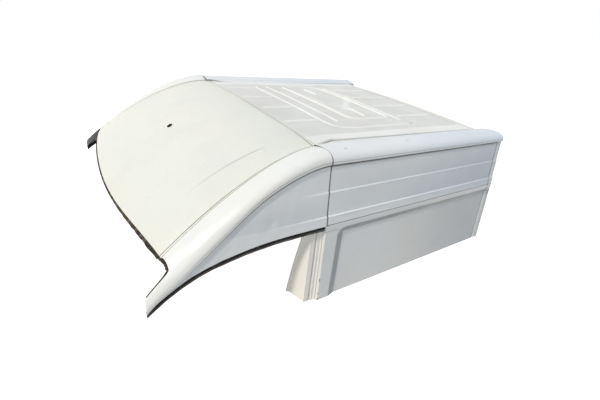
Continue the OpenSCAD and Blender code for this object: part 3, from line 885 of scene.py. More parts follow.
# The roof's dirt colour serves for dust and for painted shade in the ditches and by the jog.
FIELD = AgedEnamel(
    "dusty_enamel_roof",
    "roof_paint",
    "FBFBF6",
    blotch="F0EDE2",
    shade="E6E8E6",
    dirt="85857F",
    streak=0.0,
    dent=0.0006,
)
POST = AgedEnamel("cream_enamel_pillar", "pillar_paint", "FFFDF6", blotch="FCF7EA", streak=0.02)

# Electro-dipped primer on the hidden pressings: thin, dull and even. Dust lies on it in
# clouds 150 mm wide; its grain is drawn 6 mm wide.
DIP_GRAIN = Relief(0.006, 2, 0.0002, 0.5)
DIP_DUST = Pattern(0.150, 5, 0.45, 0.80, 0.70)
PRIMER = MattCoat(
    "dip_primer_inner", "inner_primer", "B7B8B5", (("A8A39A", DIP_DUST),), DIP_GRAIN, 0.62
)
# The inner pillars' dark grey is a dip coat and painted shade: it stands in for the deep shade
# inside them.
PILLAR_COAT_AND_SHADE = MattCoat(
    "dip_coat_and_painted_shade_pillar_inner", "inner_primer", "5A5D62", (("6F7276", DIP_DUST),), DIP_GRAIN, 0.62
)

# Extruded EPDM sponge rubber: near black and dull, greyed in clouds 20 mm wide, with pores
# drawn 3 mm wide. The grey on the crest that the door wiped is wear and a painted highlight.
RUBBER = MattCoat(
    "sponge_rubber_seal",
    "door_rubber",
    "0B0B0C",
    (("77736E", "dirt_and_painted_light"), ("77736E", Pattern(0.020, 4, 0.55, 0.80, 0.35))),
    Relief(0.003, 3, 0.0003, 0.6),
    0.80,
    ("Specular IOR Level", 0.25),
)

# Polyurethane windscreen adhesive cut with a wire: dark and torn in ridges of 4 mm, with
# rust flecks of 12 mm and dust of 40 mm in it.
ADHESIVE = MattCoat(
    "cut_windscreen_adhesive",
    "glass_adhesive",
    "2B2824",
    (
        ("6A5538", Pattern(0.012, 4, 0.50, 0.66, 0.80)),
        ("8C877B", Pattern(0.040, 5, 0.52, 0.80, 0.60)),
        ("8C877B", "dirt_and_painted_light"),
    ),
    Relief(0.004, 4, 0.0015, 0.9),
    0.85,
    ("Specular IOR Level", 0.30),
)

# Brushed body sealer in the joints: dark grey and matt, with road dirt in clouds 30 mm wide
# and brush marks of 5 mm.
SEALER = MattCoat(
    "brushed_seam_sealer",
    "joint_sealer",
    "34353A",
    (("6E6E6C", Pattern(0.030, 4, 0.50, 0.80, 0.50)),),
    Relief(0.005, 3, 0.0004, 0.7),
    0.70,
    ("IOR", 1.48),
)


@dataclass
class SidePiece:
    """A piece that the roof has once on each side; it is worked out on the left."""

    side: Side

    def put(self, shell: Shell, name: str, finish: Finish, node: str, angle: float = 35.0) -> None:
        """Shows a shell on this side, in place of the side's CAD node.

        Args:
            shell: the shell as worked out on the left.
            name: the piece's name without the side.
            finish: what it is painted or made of.
            node: the CAD node's name without the side.
            angle: edges sharper than this many degrees stay sharp.
        """
        word = self.side.word
        show(shell, f"{name}_{word}", finish, [f"{node}_{word}"], angle, self.side)


# ---------------------------------------------------------------- cab front


@dataclass
class CabDome:
    """The domed skin over the cab, with its creases, dents and aerial hole."""

    thickness: float = 0.0039
    edge_roll: float = 0.0025
    crease_height: float = 0.0040
    crease_width: float = 0.085
    crease_at: float = 0.616
    cross_height: float = 0.0012
    cross_width: float = 0.030
    cross_at: float = 0.214
    boss_height: float = 0.0030
    boss_radius: float = 0.014
    boss_at: tuple[float, float] = (0.232, 0.622)
    wave: float = 0.0007
    roll_width: float = 0.004
    aerial_x: float = 0.468
    aerial_r: float = 0.012

    def relief(self, x: Array, y: Array) -> Array:
        """Height over the plain dome.

        A ridge, highest on the line |y| = 0.616, falls off on both sides and fades in from
        x = 0.20 and out by 0.72. A round boss sits at its rear end, a
        weak ridge runs across from there, and slow waves cover the sheet.

        Args:
            x: distance ahead of the cab joint.
            y: distance from the middle.

        Returns:
            The height for each point.
        """
        away = np.abs(y)
        ridge = np.clip(1 - np.abs(away - self.crease_at) / self.crease_width, 0, 1) ** 1.6
        ridge = ridge * ramp(x, 0.20, 0.27) * near(x, 0.50, 0.72)
        cross = np.clip(1 - np.abs(x - self.cross_at) / self.cross_width, 0, 1) ** 1.4
        cross = cross * ramp(away, 0.25, 0.45) * near(away, 0.60, 0.63)
        from_boss = np.hypot(x - self.boss_at[0], away - self.boss_at[1])
        boss = ramp(self.boss_radius - from_boss, -0.004, 0.004)
        waves = ripple(x * 5, y * 4, 1.3) - 1
        ridges = self.crease_height * ridge + self.cross_height * cross
        return ridges + self.boss_height * boss + self.wave * waves

    def skin(self) -> Shell:
        """Builds the skin.

        Rows run from the cab joint to the windscreen edge and columns over the width; both
        are denser at the borders, where the sheet rolls down over 4 mm. Dirt lies in the
        seam and under the strips, and painted shade along the crease.

        Returns:
            The closed shell.
        """
        u = stops((0, 0.006, 4), (0.006, 0.99, 130), (0.99, 1.0, 6))[:, None]
        half = stops((0, 0.795, 58), (0.795, 0.870, 34), (0.870, 0.992, 14), (0.992, 1.0, 6))
        v = np.concatenate([-half[:0:-1], half])[None, :]
        x = FORM.header_x(v) * u
        p = FORM.dome(x, v)
        p[..., 2] += self.relief(p[..., 0], p[..., 1])
        side = (1 - np.abs(v)) * FORM.crease_y(x)
        ahead = (1 - u) * FORM.header_x(v)
        roll = near(np.minimum(np.minimum(side, ahead), x), 0.0, self.roll_width)
        p[..., 2] -= self.edge_roll * roll
        crease = bell(np.abs(p[..., 1]) - self.crease_at, 0.0034) * ramp(x, 0.21, 0.25)
        dirt_and_painted_light = 0.75 * near(side, 0.0008, 0.0030) + 0.9 * near(x, 0.0016, 0.0050)
        # Painted shade: a darker line along the crease.
        dirt_and_painted_light = dirt_and_painted_light + 0.34 * crease * near(x, 0.36, 0.64)
        inner = p - np.array([0.0, 0.0, self.thickness - self.edge_roll])
        inner[..., 2] = np.minimum(inner[..., 2], FORM.dome(x, v)[..., 2] - self.thickness)
        return sheet(p, inner, dirt_and_painted_light)

    def hole(self) -> tuple[Array, Array]:
        """Finds the aerial hole.

        Returns:
            Its middle on the skin and its axis, which points up square to the skin.
        """
        x = self.aerial_x + np.array([-0.005, 0.0, 0.005])
        back, at, front = FORM.dome(x, 0 * x)
        axis = np.cross(front - back, [0.0, 1.0, 0.0])
        return at, axis / np.linalg.norm(axis)

    def cutter(self) -> bpy.types.Object:
        """Builds the round bar that cuts the aerial hole.

        Returns:
            The bar.
        """
        at, axis = self.hole()
        bpy.ops.mesh.primitive_cylinder_add(vertices=48, radius=self.aerial_r, depth=0.04)
        tool = bpy.context.object
        tool.location = Vector(at) + Vector((SHIFT, 0, 0))
        tool.rotation_mode = "QUATERNION"
        tool.rotation_quaternion = Vector((0, 0, 1)).rotation_difference(Vector(-axis))
        bpy.context.view_layer.update()
        return tool

    def shade_sleeve(self) -> Shell:
        """Builds a thin black rubber sleeve in the hole, a dark sheet that paints the shade inside
        it.

        Its wall section, given as (radius, along the hole's axis), is turned round the
        axis. A thin collar lies on the skin, and the sleeve hangs 16 mm under it and is
        open at both ends.

        Returns:
            The closed shell.
        """
        at, axis = self.hole()
        sideways = np.array([0.0, 1.0, 0.0])
        ahead = np.cross(sideways, axis)
        r, h = self.aerial_r, -self.thickness
        wall = np.array(
            [
                (r - 0.0002, 0.0004), (r - 0.0002, h), (r + 0.002, h - 0.0005),
                (r + 0.002, h - 0.002), (r - 0.0002, h - 0.0025), (r - 0.0006, -0.018),
                (r - 0.0024, -0.018), (r - 0.0020, 0.0016), (r + 0.0032, 0.0014),
                (r + 0.0036, 0.0004),
            ]
        )
        turn = np.linspace(0, 2 * np.pi, 48, endpoint=False)
        outwards = np.cos(turn)[:, None] * ahead + np.sin(turn)[:, None] * sideways
        points = at + wall[None, :, :1] * outwards[:, None] + wall[None, :, 1:] * axis
        i = np.arange(points.shape[0] * len(wall)).reshape(-1, len(wall))
        j, k = np.roll(i, -1, axis=1), np.roll(i, -1, axis=0)
        quads = np.stack([i, j, np.roll(j, -1, axis=0), k], -1).reshape(-1, 4)
        return Shell(points.reshape(-1, 3), quads).turned_outwards()

    def build(self) -> None:
        """Shows the dome and the sleeve that paints the hole's shade, and cuts the hole."""
        show(self.shade_sleeve(), "painted_shade_aerial_sleeve", RUBBER, [])
        piece = show(self.skin(), "cab_dome", OUTER, ["front_dome"])
        tool = self.cutter()
        cut = piece.modifiers.new("aerial", "BOOLEAN")
        cut.object, cut.operation, cut.solver = tool, "DIFFERENCE", "EXACT"
        graph = bpy.context.evaluated_depsgraph_get()
        done = bpy.data.meshes.new_from_object(piece.evaluated_get(graph))
        piece.modifiers.clear()
        piece.data = done
        bpy.data.objects.remove(tool)
        done.materials.clear()
        done.materials.append(OUTER.material())


@dataclass
class FrontRail(SidePiece):
    """One rounded rail from the cab joint down to the cut pillar end, with its joint strip."""

    rows: int = 110
    blend_s: float = 0.16
    roll_width: float = 0.0035
    roll_depth: float = 0.0018
    hem_at: float = 0.011
    hem_width: float = 0.0022
    hem_depth: float = 0.0013
    strip_sunk: float = 0.0006
    deep_groove: float = 0.0030
    shallow_groove: float = 0.0016
    wave: float = 0.0006

    def skin(self) -> Shell:
        """Builds the rail.

        Rows run forward by the share u of each column's own front edge; columns run over
        the rail, the first ones drawn in to the strip's edge. Within 4 mm of the strip the
        sheet rolls down, and 11 mm above the lip a groove sinks it as a bell curve. Dirt
        lies in the roll and in the seam across the roof; painted shade lies in the groove and
        along the lip's lower edge behind x = 0.5.

        Returns:
            The closed shell.
        """
        t = stops(
            (0, 0.02, 4), (0.02, 0.40, 22), (0.40, 0.60, 30), (0.60, 0.90, 12), (0.90, 1.0, 16)
        )[None, :]
        u = stops((0, 0.005, 3), (0.005, 0.985, self.rows), (0.985, 1.0, 5))[:, None]
        x = u * FORM.rail_front(t)
        drawn_in = mix(FORM.strip_share(x), self.blend_s, t / self.blend_s)
        share = np.where(t < self.blend_s, drawn_in, t)
        p = FORM.rail(x, share)
        inner = inner_grid(p, FORM.skin, (0.3, 0.6, 0.2))
        n = (p - inner) / FORM.skin
        start = np.linalg.norm(p - p[:, :1], axis=-1)
        foot = FORM.rail(x, np.ones_like(share))
        down = np.linalg.norm((p - foot)[..., 1:], axis=-1)
        roll = near(start, 0.0, self.roll_width)
        hem = bell(down - self.hem_at, self.hem_width) * near(x, 0.60, 0.75)
        waves = self.wave * ripple(x * 6, t * 7, 0.4) * (1 - roll) * ramp(down, 0, 0.02)
        depth = self.roll_depth * roll + self.hem_depth * hem - waves
        outer = p - n * depth[..., None]
        # Dirt in the roll and the seam; painted shade in the groove above the lip.
        dirt_and_painted_light = 0.55 * near(start, 0.0008, 0.0028) + 0.30 * hem + 0.9 * near(x, 0.0012, 0.0036)
        # Painted shadow along the lip's lower edge, fading out between x = 0.5 and 0.75.
        dirt_and_painted_light = dirt_and_painted_light + 0.75 * near(down, 0.001, 0.003) * near(x, 0.5, 0.75)
        return sheet(outer, inner - n * 0.0002, dirt_and_painted_light)

    def strip(self) -> Shell:
        """Builds the joint strip beside the dome.

        Across its width the strip lies a little below both neighbours and sinks into a
        narrow groove at each border; the one beside the dome is deeper and dirtier.

        Returns:
            The closed shell.
        """
        u = np.linspace(0, 1, self.rows)[:, None]
        x = u * FORM.corner_x
        inboard, outboard = FORM.rail(x, 0 * x), FORM.rail(x, FORM.strip_share(x))
        w = np.array([0, 0.0008, 0.0016, 0.0024, 0.0033, 0.0043])
        width = np.linalg.norm(outboard - inboard, axis=-1)
        border = w[None, :] / width
        middle = np.full_like(border[:, :1], 0.5)
        across = np.concatenate([border, middle, 1 - border[:, ::-1]], axis=1)
        p = mix(inboard, outboard, across[..., None])
        left, right = across * width, (1 - across) * width
        deep = near(left, 0.0014, 0.0038)
        shallow = near(right, 0.0012, 0.0034)
        p[..., 2] -= self.strip_sunk + self.deep_groove * deep + self.shallow_groove * shallow
        inner = p - np.array([0, 0, 0.0030])
        return sheet(p, inner, 0.95 * deep + 0.80 * shallow)

    def build(self) -> None:
        """Shows the rail and its strip."""
        self.put(self.skin(), "front_rail_skin", SHOULDER, "front_rail")
        self.put(self.strip(), "joint_strip", OUTER, "dome_strip")


@dataclass
class FrontSidePanel(SidePiece):
    """One side panel over the cab door, between door edge and drip line."""

    columns: int = 120
    rows: int = 96
    dent_at: tuple[float, float] = (0.30, 0.50)
    dent_size: float = 0.022
    dent_depth: float = 0.0022
    wave: float = 0.0008

    def skin(self) -> Shell:
        """Builds the panel.

        Half width is the wall's, plus the fading pressed steps, minus the sweep towards the
        nose and some shallow waves and a dent. It has a painted shadow under the drip line,
        dirt in the seam, and a thin painted shade between its two steps.

        Returns:
            The closed shell.
        """
        x = stops((0, 0.006, 4), (0.006, FORM.nose_len, self.columns))[:, None]
        k = stops((0, 0.02, 3), (0.02, 0.955, self.rows), (0.955, 1.0, 9))[None, :]
        low, high = FORM.door_h(x), FORM.drip_h(x)
        z = mix(low, high, k)
        y = FORM.wall_y(z) + FORM.front_push(x, z) - FORM.sweep(x)
        calm = ramp(z - low, 0.0, 0.03) * ramp(high - z, 0.0, 0.03)
        waves = self.wave * (1 + ripple(x * 8, z * 9, 2.2)) * calm
        dent = self.dent_depth * spot(x, z, self.dent_at, self.dent_size)
        p = grid(x, y - waves - dent * (self.side is Side.LEFT), z)
        # Painted shadow under the drip line, fading out towards the nose.
        dirt_and_painted_light = 0.9 * near(high - z, 0.0060, 0.0110) * near(x, 0.35, 0.60)
        dirt_and_painted_light = dirt_and_painted_light + 0.8 * near(x, *SEAM_DIRT)
        # Painted shade between the two steps, darker downwards.
        film = 0.14 * ramp(0.60 - z, 0.0, 0.10) * ramp(z - FORM.swage_low_z, -0.002, 0.002)
        return sheet(p, p - WALL_SHEET, dirt_and_painted_light, film)

    def build(self) -> None:
        """Shows the panel."""
        self.put(self.skin(), "side_over_door", WALL, "front_side_panel")


@dataclass
class DoorSeal(SidePiece):
    """The rubber seal clipped along the door edge: a bulb with a wiping lip under it.

    Attributes:
        length_steps: number of rings along the edge.
        tall: how much taller the seal is than its section as listed.
        lift: how far the seal climbs over the door edge towards the nose.
    """

    length_steps: int = 100
    tall: float = 1.18
    lift: float = 0.010

    def skin(self) -> Shell:
        """Builds the seal.

        The section is given as (inwards, down) from the panel's edge: a round bulb, a
        waist, and a thin lip; it is carried along the door edge.

        Returns:
            The closed shell.
        """
        section = np.array(
            [
                (0.0040, -0.0005), (0.0005, 0.0002), (-0.0018, 0.0016), (-0.0030, 0.0038),
                (-0.0032, 0.0064), (-0.0022, 0.0090), (-0.0008, 0.0102), (-0.0012, 0.0112),
                (-0.0026, 0.0132), (-0.0038, 0.0156), (-0.0036, 0.0172), (-0.0020, 0.0192),
                (0.0012, 0.0200), (0.0062, 0.0198), (0.0100, 0.0186), (0.0126, 0.0154),
                (0.0140, 0.0100), (0.0140, 0.0040), (0.0128, 0.0006), (0.0090, -0.0005),
            ]
        )
        inwards, down = section[None, :, 0], section[None, :, 1]
        # Grey on the waist and lip: wear and a painted highlight.
        worn = np.array([0, 0, 0, 0, 0, 0, 0.1, 0.5, 0.85, 0.75, 0.1, 0, 0, 0, 0, 0, 0, 0, 0, 0])
        x = np.linspace(0.012, FORM.nose_len - 0.001, self.length_steps)[:, None]
        z = FORM.door_h(x) + self.lift * ramp(x, 0.42, 0.68)
        y = FORM.wall_y(z) - FORM.sweep(x)
        wave = 0.0005 * np.sin(41 * x) + 0.0004 * np.sin(97 * x + 1)
        rings = grid(x, y - inwards + wave, z - self.tall * down)
        return bar(rings, worn[None, :] * (0.75 + 0.25 * np.sin(33 * x)))

    def build(self) -> None:
        """Shows the seal."""
        self.put(self.skin(), "door_rubber", RUBBER, "door_seal", 50)


@dataclass
class WindscreenEdge:
    """The windscreen header, and remains of the adhesive over it and down both pillars."""

    steps: int = 220
    header_half: float = 0.985
    header_sheet: float = 0.0018

    def over_dome(self) -> Shell:
        """Builds the layer left on the windscreen flange under the dome's front edge.

        Its section is a wedge given as (ahead, down) from the dome's edge: it starts under
        the skin, bulges over the flange and wraps the flange's rim. It is thin from the
        right side to the middle and grows to the left corner, with uneven waves.

        Returns:
            The closed shell.
        """
        v = np.linspace(-0.999, 0.999, self.steps)[:, None]
        swell = np.interp(v, [-1, 0.0, 0.35, 0.65, 0.90, 1.0], [0.0, 0.0, 0.15, 0.60, 1.0, 0.75])
        swell = swell * (1 + 0.16 * ripple(v * 31, v * 17, 0.8) + 0.12 * np.sin(57 * v))
        plain = np.array(
            [
                (-0.0020, 0.0038), (0.0006, 0.0034), (0.0022, 0.0046), (0.0042, 0.0066),
                (0.0062, 0.0076), (0.0072, 0.0080), (0.0074, 0.0090), (0.0066, 0.0100),
                (0.0030, 0.0100), (-0.0020, 0.0095),
            ]
        )
        grown = np.array(
            [
                (0, 0), (0.0006, -0.0008), (0.0026, -0.0014), (0.0048, 0.0006),
                (0.0060, 0.0022), (0.0064, 0.0036), (0.0064, 0.0046), (0.0054, 0.0050),
                (0.0000, 0.0048), (0.0, 0.0036),
            ]
        )
        part = plain[None] + swell[..., None] * grown[None]
        edge = FORM.dome(FORM.header_x(v), v)
        points = grid(edge[..., 0] + part[..., 0], edge[..., 1], edge[..., 2] - part[..., 1])
        crust = 0.35 * ramp(np.sin(23 * v) + np.sin(61 * v), 1.0, 1.8)
        return bar(points, crust)

    def header(self) -> Shell:
        """Builds the windscreen header under the dome.

        Its path is given as (back, down) from the dome's edge: the glass flange, the slope
        into the closed hat, its floor, and the rise to the rear flange under the skin.

        Returns:
            The closed shell.
        """
        v = np.linspace(-self.header_half, self.header_half, 90)[:, None]
        path = np.array(
            [
                (-0.0060, 0.0084), (0.0, 0.0084), (0.010, 0.027),
                (0.052, 0.029), (0.078, 0.0048), (0.096, 0.0046),
            ]
        )
        share = np.linspace(0, len(path) - 1, 21)
        back, down = [np.interp(share, np.arange(len(path)), path[:, k])[None, :] for k in (0, 1)]
        p = FORM.dome(FORM.header_x(v) - back, v)
        p[..., 2] -= down
        return sheet(p, p - np.array([0.0, 0.0, self.header_sheet]))

    def down_pillar(self, thick: float) -> Shell:
        """Builds the bead round the corner and down the pillar's edge.

        A small round section rides just outside the rail's front edge, set out along the
        edge's own outward direction; it thins towards the cut end.

        Args:
            thick: share of the full thickness that is left.

        Returns:
            The closed shell.
        """
        s = stops((0.006, 0.40, 20), (0.40, 0.598, 50))[:, None]
        x = FORM.rail_front(s)
        edge = FORM.rail(x, s)
        along = FORM.rail(x + 0.001, s) - FORM.rail(x - 0.001, s)
        across = FORM.rail(x, s + 0.01) - FORM.rail(x, s - 0.01)
        normal = np.cross(across, along)
        normal = normal / np.linalg.norm(normal, axis=-1, keepdims=True)
        normal = normal * np.sign(normal[..., 2:3])
        run = np.gradient(edge, axis=0)
        out = np.cross(run, normal)
        out = out / np.linalg.norm(out, axis=-1, keepdims=True)
        out = out * np.sign(np.sum(out * np.array([1.0, -0.4, 0.0]), axis=-1, keepdims=True))
        full = np.interp(s, [0, 0.2, 0.45, 0.52, 0.6], [0.0165, 0.0175, 0.0165, 0.0130, 0.0060])
        uneven = 1 + 0.08 * np.sin(60 * s) + 0.06 * np.sin(141 * s)
        height = (thick * full * uneven)[..., None]
        angle = np.linspace(0, 2 * np.pi, 12, endpoint=False)[None, :, None]
        points = edge + out * height * 0.5 * (0.9 + np.cos(angle))
        return bar(points - normal * (height * 0.5 * (1.0 + np.sin(angle)) + 0.0010))

    def build(self) -> None:
        """Shows the header, the bead over it and one down each pillar."""
        show(self.over_dome(), "adhesive_over_dome", ADHESIVE, ["windscreen_seal"], 60)
        show(self.header(), "windscreen_hat_header", PRIMER, ["windscreen_header"])
        for side, thick in ((Side.LEFT, 1.0), (Side.RIGHT, 0.5)):
            bead, word = self.down_pillar(thick), side.word
            show(bead, f"adhesive_pillar_{word}", ADHESIVE, [f"pillar_bead_{word}"], 60, side)


# ---------------------------------------------------------------- flat roof


@dataclass(frozen=True)
class Bead:
    """A pressed bead of the roof along a path, whose inner corners are rounded."""

    path: tuple[tuple[float, float], ...]
    width: float = 0.024
    top: float = 0.0060
    radius: float = 0.0

    def line(self) -> Array:
        """Gives the path's points, with each inner corner as a quadratic curve.

        The curve runs between the two points that lie a radius from the corner; its
        corners are weighted (1−t)², 2t(1−t) and t².

        Returns:
            The points (count, 2).
        """
        path = [np.array(p) for p in self.path]
        found = [path[0]]
        t = np.linspace(0, 1, 8)[:, None]
        for before, at, after in zip(path, path[1:], path[2:]):
            a, b = [at + self.radius * (q - at) / np.linalg.norm(q - at) for q in (before, after)]
            found.extend((1 - t) ** 2 * a + 2 * t * (1 - t) * at + t**2 * b)
        return np.array([*found, path[-1]])

    def height(self, x: Array, y: Array) -> Array:
        """Height of the bead: top × (1 − (2 distance / width)²)^1.5, zero outside it.

        The distance is that to the nearest stretch of the line.

        Args:
            x: distance ahead of the cab joint.
            y: distance from the middle.

        Returns:
            The height for each point.
        """
        line = self.line()
        nearest = np.full(np.broadcast_shapes(np.shape(x), np.shape(y)), 1.0)
        for a, b in zip(line, line[1:]):
            run = b - a
            along = (x - a[0]) * run[0] + (y - a[1]) * run[1]
            t = np.clip(along / max(np.dot(run, run), 1e-12), 0, 1)
            nearest = np.minimum(nearest, np.hypot(x - a[0] - t * run[0], y - a[1] - t * run[1]))
        t = np.clip(2 * nearest / self.width, 0, 1)
        return self.top * (1 - t * t) ** 1.5


@dataclass
class FlatRoof:
    """The pressed roof panel behind the cab, with its beads, ditches and front joint.

    Attributes:
        rows: number of rows behind the first ones.
        columns: number of columns over the width.
        stable_half: half width that the columns have before they follow the ditches.
        end_roll: how far the panel rolls down at its front and rear ends.
        wave: height of the slow waves.
        wiped: a stretch that lies clean in the dust.
        marks: places of two round dirt marks.
        mark_size: radius of the marks.
    """

    rows: int = 205
    columns: int = 216
    stable_half: float = 0.638
    end_roll: float = 0.0020
    wave: float = 0.0003
    wiped: Bead = Bead(((-0.655, 0.160), (-0.970, -0.190)), width=0.070, top=1.0)
    marks: tuple[tuple[float, float], ...] = ((-0.866, 0.366), (-0.948, 0.490))
    mark_size: float = 0.010

    def beads(self) -> list[Bead]:
        """Lists the beads as they lie in the photo.

        Returns:
            The large loop, two cross beads, three hooks, two short ones and both end rows.
        """
        wide = {"width": 0.033, "top": 0.0085}
        outer_loop = ((-0.920, 0.510), (-0.298, 0.510), (-0.298, -0.550), (-0.920, -0.550))
        faint_hook = ((-0.575, -0.170), (-0.578, 0.065), (-0.700, 0.090))
        found = [
            Bead(outer_loop, radius=0.150),
            Bead(((-0.915, 0.425), (-0.915, -0.440))),
            Bead(((-0.850, 0.372), (-0.530, 0.372), (-0.530, -0.455)), radius=0.080, **wide),
            Bead(((-0.862, 0.345), (-0.862, -0.490), (-0.600, -0.490)), radius=0.110, **wide),
            Bead(((-0.400, 0.385), (-0.400, -0.500))),
            Bead(faint_hook, top=0.0035, radius=0.050),
        ]
        found += [Bead(((-0.690, y), (-0.690, y + 0.150)), **wide) for y in (-0.385, 0.160)]
        for start, end, width, places in (
            (-0.065, -0.262, 0.032, (-0.430, -0.167, 0.088, 0.352)),
            (-0.975, -1.300, 0.036, (-0.365, -0.125, 0.115, 0.355)),
        ):
            found += [Bead(((start, y), (end, y)), width=width, top=0.0075) for y in places]
        return found

    def skin(self) -> Shell:
        """Builds the panel.

        Columns run over the width between the ditches and spread beyond |y| = 0.56 to
        follow them; rows and columns are denser at the beads. At each side three more
        columns round the corner and go down the flange to the ditch floor. Height is the
        cambered roof plus the highest bead at each point, with slow waves. Dust lies on the
        sunk field, thicker away from the beads; the bead tops are clean paint and a painted
        highlight, and the lighter shoulders are painted light. Dirt lies at the joint, and
        painted shade in the ditches and along the jog.

        Returns:
            The closed shell.
        """
        crossing = (-0.298, -0.400, -0.530, -0.690, -0.862, -0.915)
        lengthwise = (
            -0.550, -0.490, -0.430, -0.365, -0.167, -0.125, 0.088, 0.115, 0.352, 0.372, 0.510,
        )
        x = np.concatenate(
            [
                np.linspace(FORM.roof_front, -0.030, 3, endpoint=False),
                graded(-0.030, -1.352, self.rows, crossing, 0.018),
                np.linspace(-1.352, FORM.roof_back, 4),
            ]
        )[:, None]
        half = self.stable_half
        plain_y = np.append(graded(-half, half, self.columns, lengthwise, 0.016), half)[None, :]
        edge = FORM.ditch_y(x, FORM.ditch_w)
        spread = (edge - DITCH_CORNER - half) * ramp(np.abs(plain_y), 0.56, half)
        y = plain_y + np.sign(plain_y) * spread
        z = FORM.roof_h(y)
        raised = np.max([b.height(x, y) for b in self.beads()], axis=0)
        waves = self.wave * ripple(x * 6, y * 6, 3.1) * ramp(edge - np.abs(y), 0.0, 0.05)
        ends = near(np.minimum(FORM.roof_front - x, x - FORM.roof_back), 0.0, 0.004)
        z = z + raised + waves - self.end_roll * ends
        # Bead tops without dust: partly clean paint, partly a painted highlight.
        clean = ramp(raised, 0.0004, 0.0030) + self.wiped.height(x, y) / self.wiped.top
        dust = (0.25 + 0.05 * ripple(x * 3, y * 3, 5.0)) * (1 - 0.95 * np.clip(clean, 0, 1))
        # The shoulders get little dust: partly dust, partly painted light for their shading.
        dirt_and_painted_light = dust * mix(0.15, 1.0, ramp(0.575 - np.abs(y), -0.004, 0.004))
        dirt_and_painted_light = dirt_and_painted_light + sum(0.8 * spot(x, y, at, self.mark_size) for at in self.marks)
        dirt_and_painted_light = dirt_and_painted_light + 0.7 * near(FORM.roof_front - x, 0.0008, 0.0040)
        # Painted shade along the edge by the jog.
        dirt_and_painted_light = dirt_and_painted_light + 0.5 * near(edge - np.abs(y), 0.004, 0.012) * FORM.jog(x)
        top = z[:, -1:]
        side_y = np.concatenate([edge - DITCH_CHAMFER, edge, edge], axis=1)
        floor = np.full_like(top, FORM.ditch_z + 0.001)
        side_z = np.concatenate([top - DITCH_CHAMFER, top - DITCH_CORNER, floor], axis=1)
        # Painted shade growing down the ditch flange, strongest by the jog.
        dark = np.array([0.1, 0.5, 0.9]) * mix(0.5, 1.0, FORM.jog(x))
        ys = np.concatenate([-side_y[:, ::-1], y, side_y], axis=1)
        zs = np.concatenate([side_z[:, ::-1], z, side_z], axis=1)
        p = grid(x, ys, zs)
        dirt_and_painted_light = np.concatenate([dark[:, ::-1], dirt_and_painted_light, dark], axis=1)
        return sheet(p, inner_grid(p, FORM.skin, (-0.7, 0.0, 0.0)), dirt_and_painted_light)

    def joint(self) -> Shell:
        """Builds the strip across the roof between dome and panel.

        It rises 1.4 mm in its middle and sinks 4.5 mm into a dark groove at both borders.

        Returns:
            The closed shell.
        """
        v = np.linspace(-1, 1, 120)[:, None]
        border = np.array([0, 0.04, 0.09, 0.14, 0.20, 0.35])
        w = np.concatenate([border, [0.5], 1 - border[::-1]])[None, :]
        front = FORM.dome(0 * v, v)[..., 2]
        back = FORM.roof_h(v * 0.690)
        groove = near(np.minimum(w, 1 - w) * -FORM.roof_front, 0.0022, 0.0058)
        rise, sink = 0.0014, 0.0045
        z = mix(front, back, w) + rise * np.sin(np.pi * w) - sink * groove
        p = grid(w * FORM.roof_front, v * FORM.crease_half, z)
        return sheet(p, p - np.array([0, 0, 0.0025]), 0.95 * groove)

    def plug(self) -> Shell:
        """Builds the small round plug in the left corner of the seam.

        It is a flat dome 9 mm in radius, 3 mm high and falling off with the cube of the
        radius, on a foot 6 mm deep.

        Returns:
            The closed shell.
        """
        r = np.array([0.35, 0.65, 0.85, 1.0])[:, None]
        a = np.linspace(0, 2 * np.pi, 24, endpoint=False)[None, :]
        radius, height, foot_depth = 0.009, 0.003, 0.006
        ring = grid(radius * r * np.cos(a), radius * r * np.sin(a), height * (1 - r**3))
        rings = ring + np.array([-0.013, 0.702, 0.7630])
        foot = rings[-1:] - np.array([0.0, 0.0, foot_depth])
        return bar(np.concatenate([rings, foot]), np.array([0, 0, 0, 0.6, 1.0])[:, None])

    def build(self) -> None:
        """Shows the panel, its front joint and the two corner plugs."""
        show(self.skin(), "roof_skin", FIELD, ["roof_panel"], 40)
        show(self.joint(), "roof_joint_strip", OUTER, ["roof_seam_strip"])
        for side in Side:
            show(self.plug(), f"seam_plug_{side.word}", OUTER, [], mirrored=side)


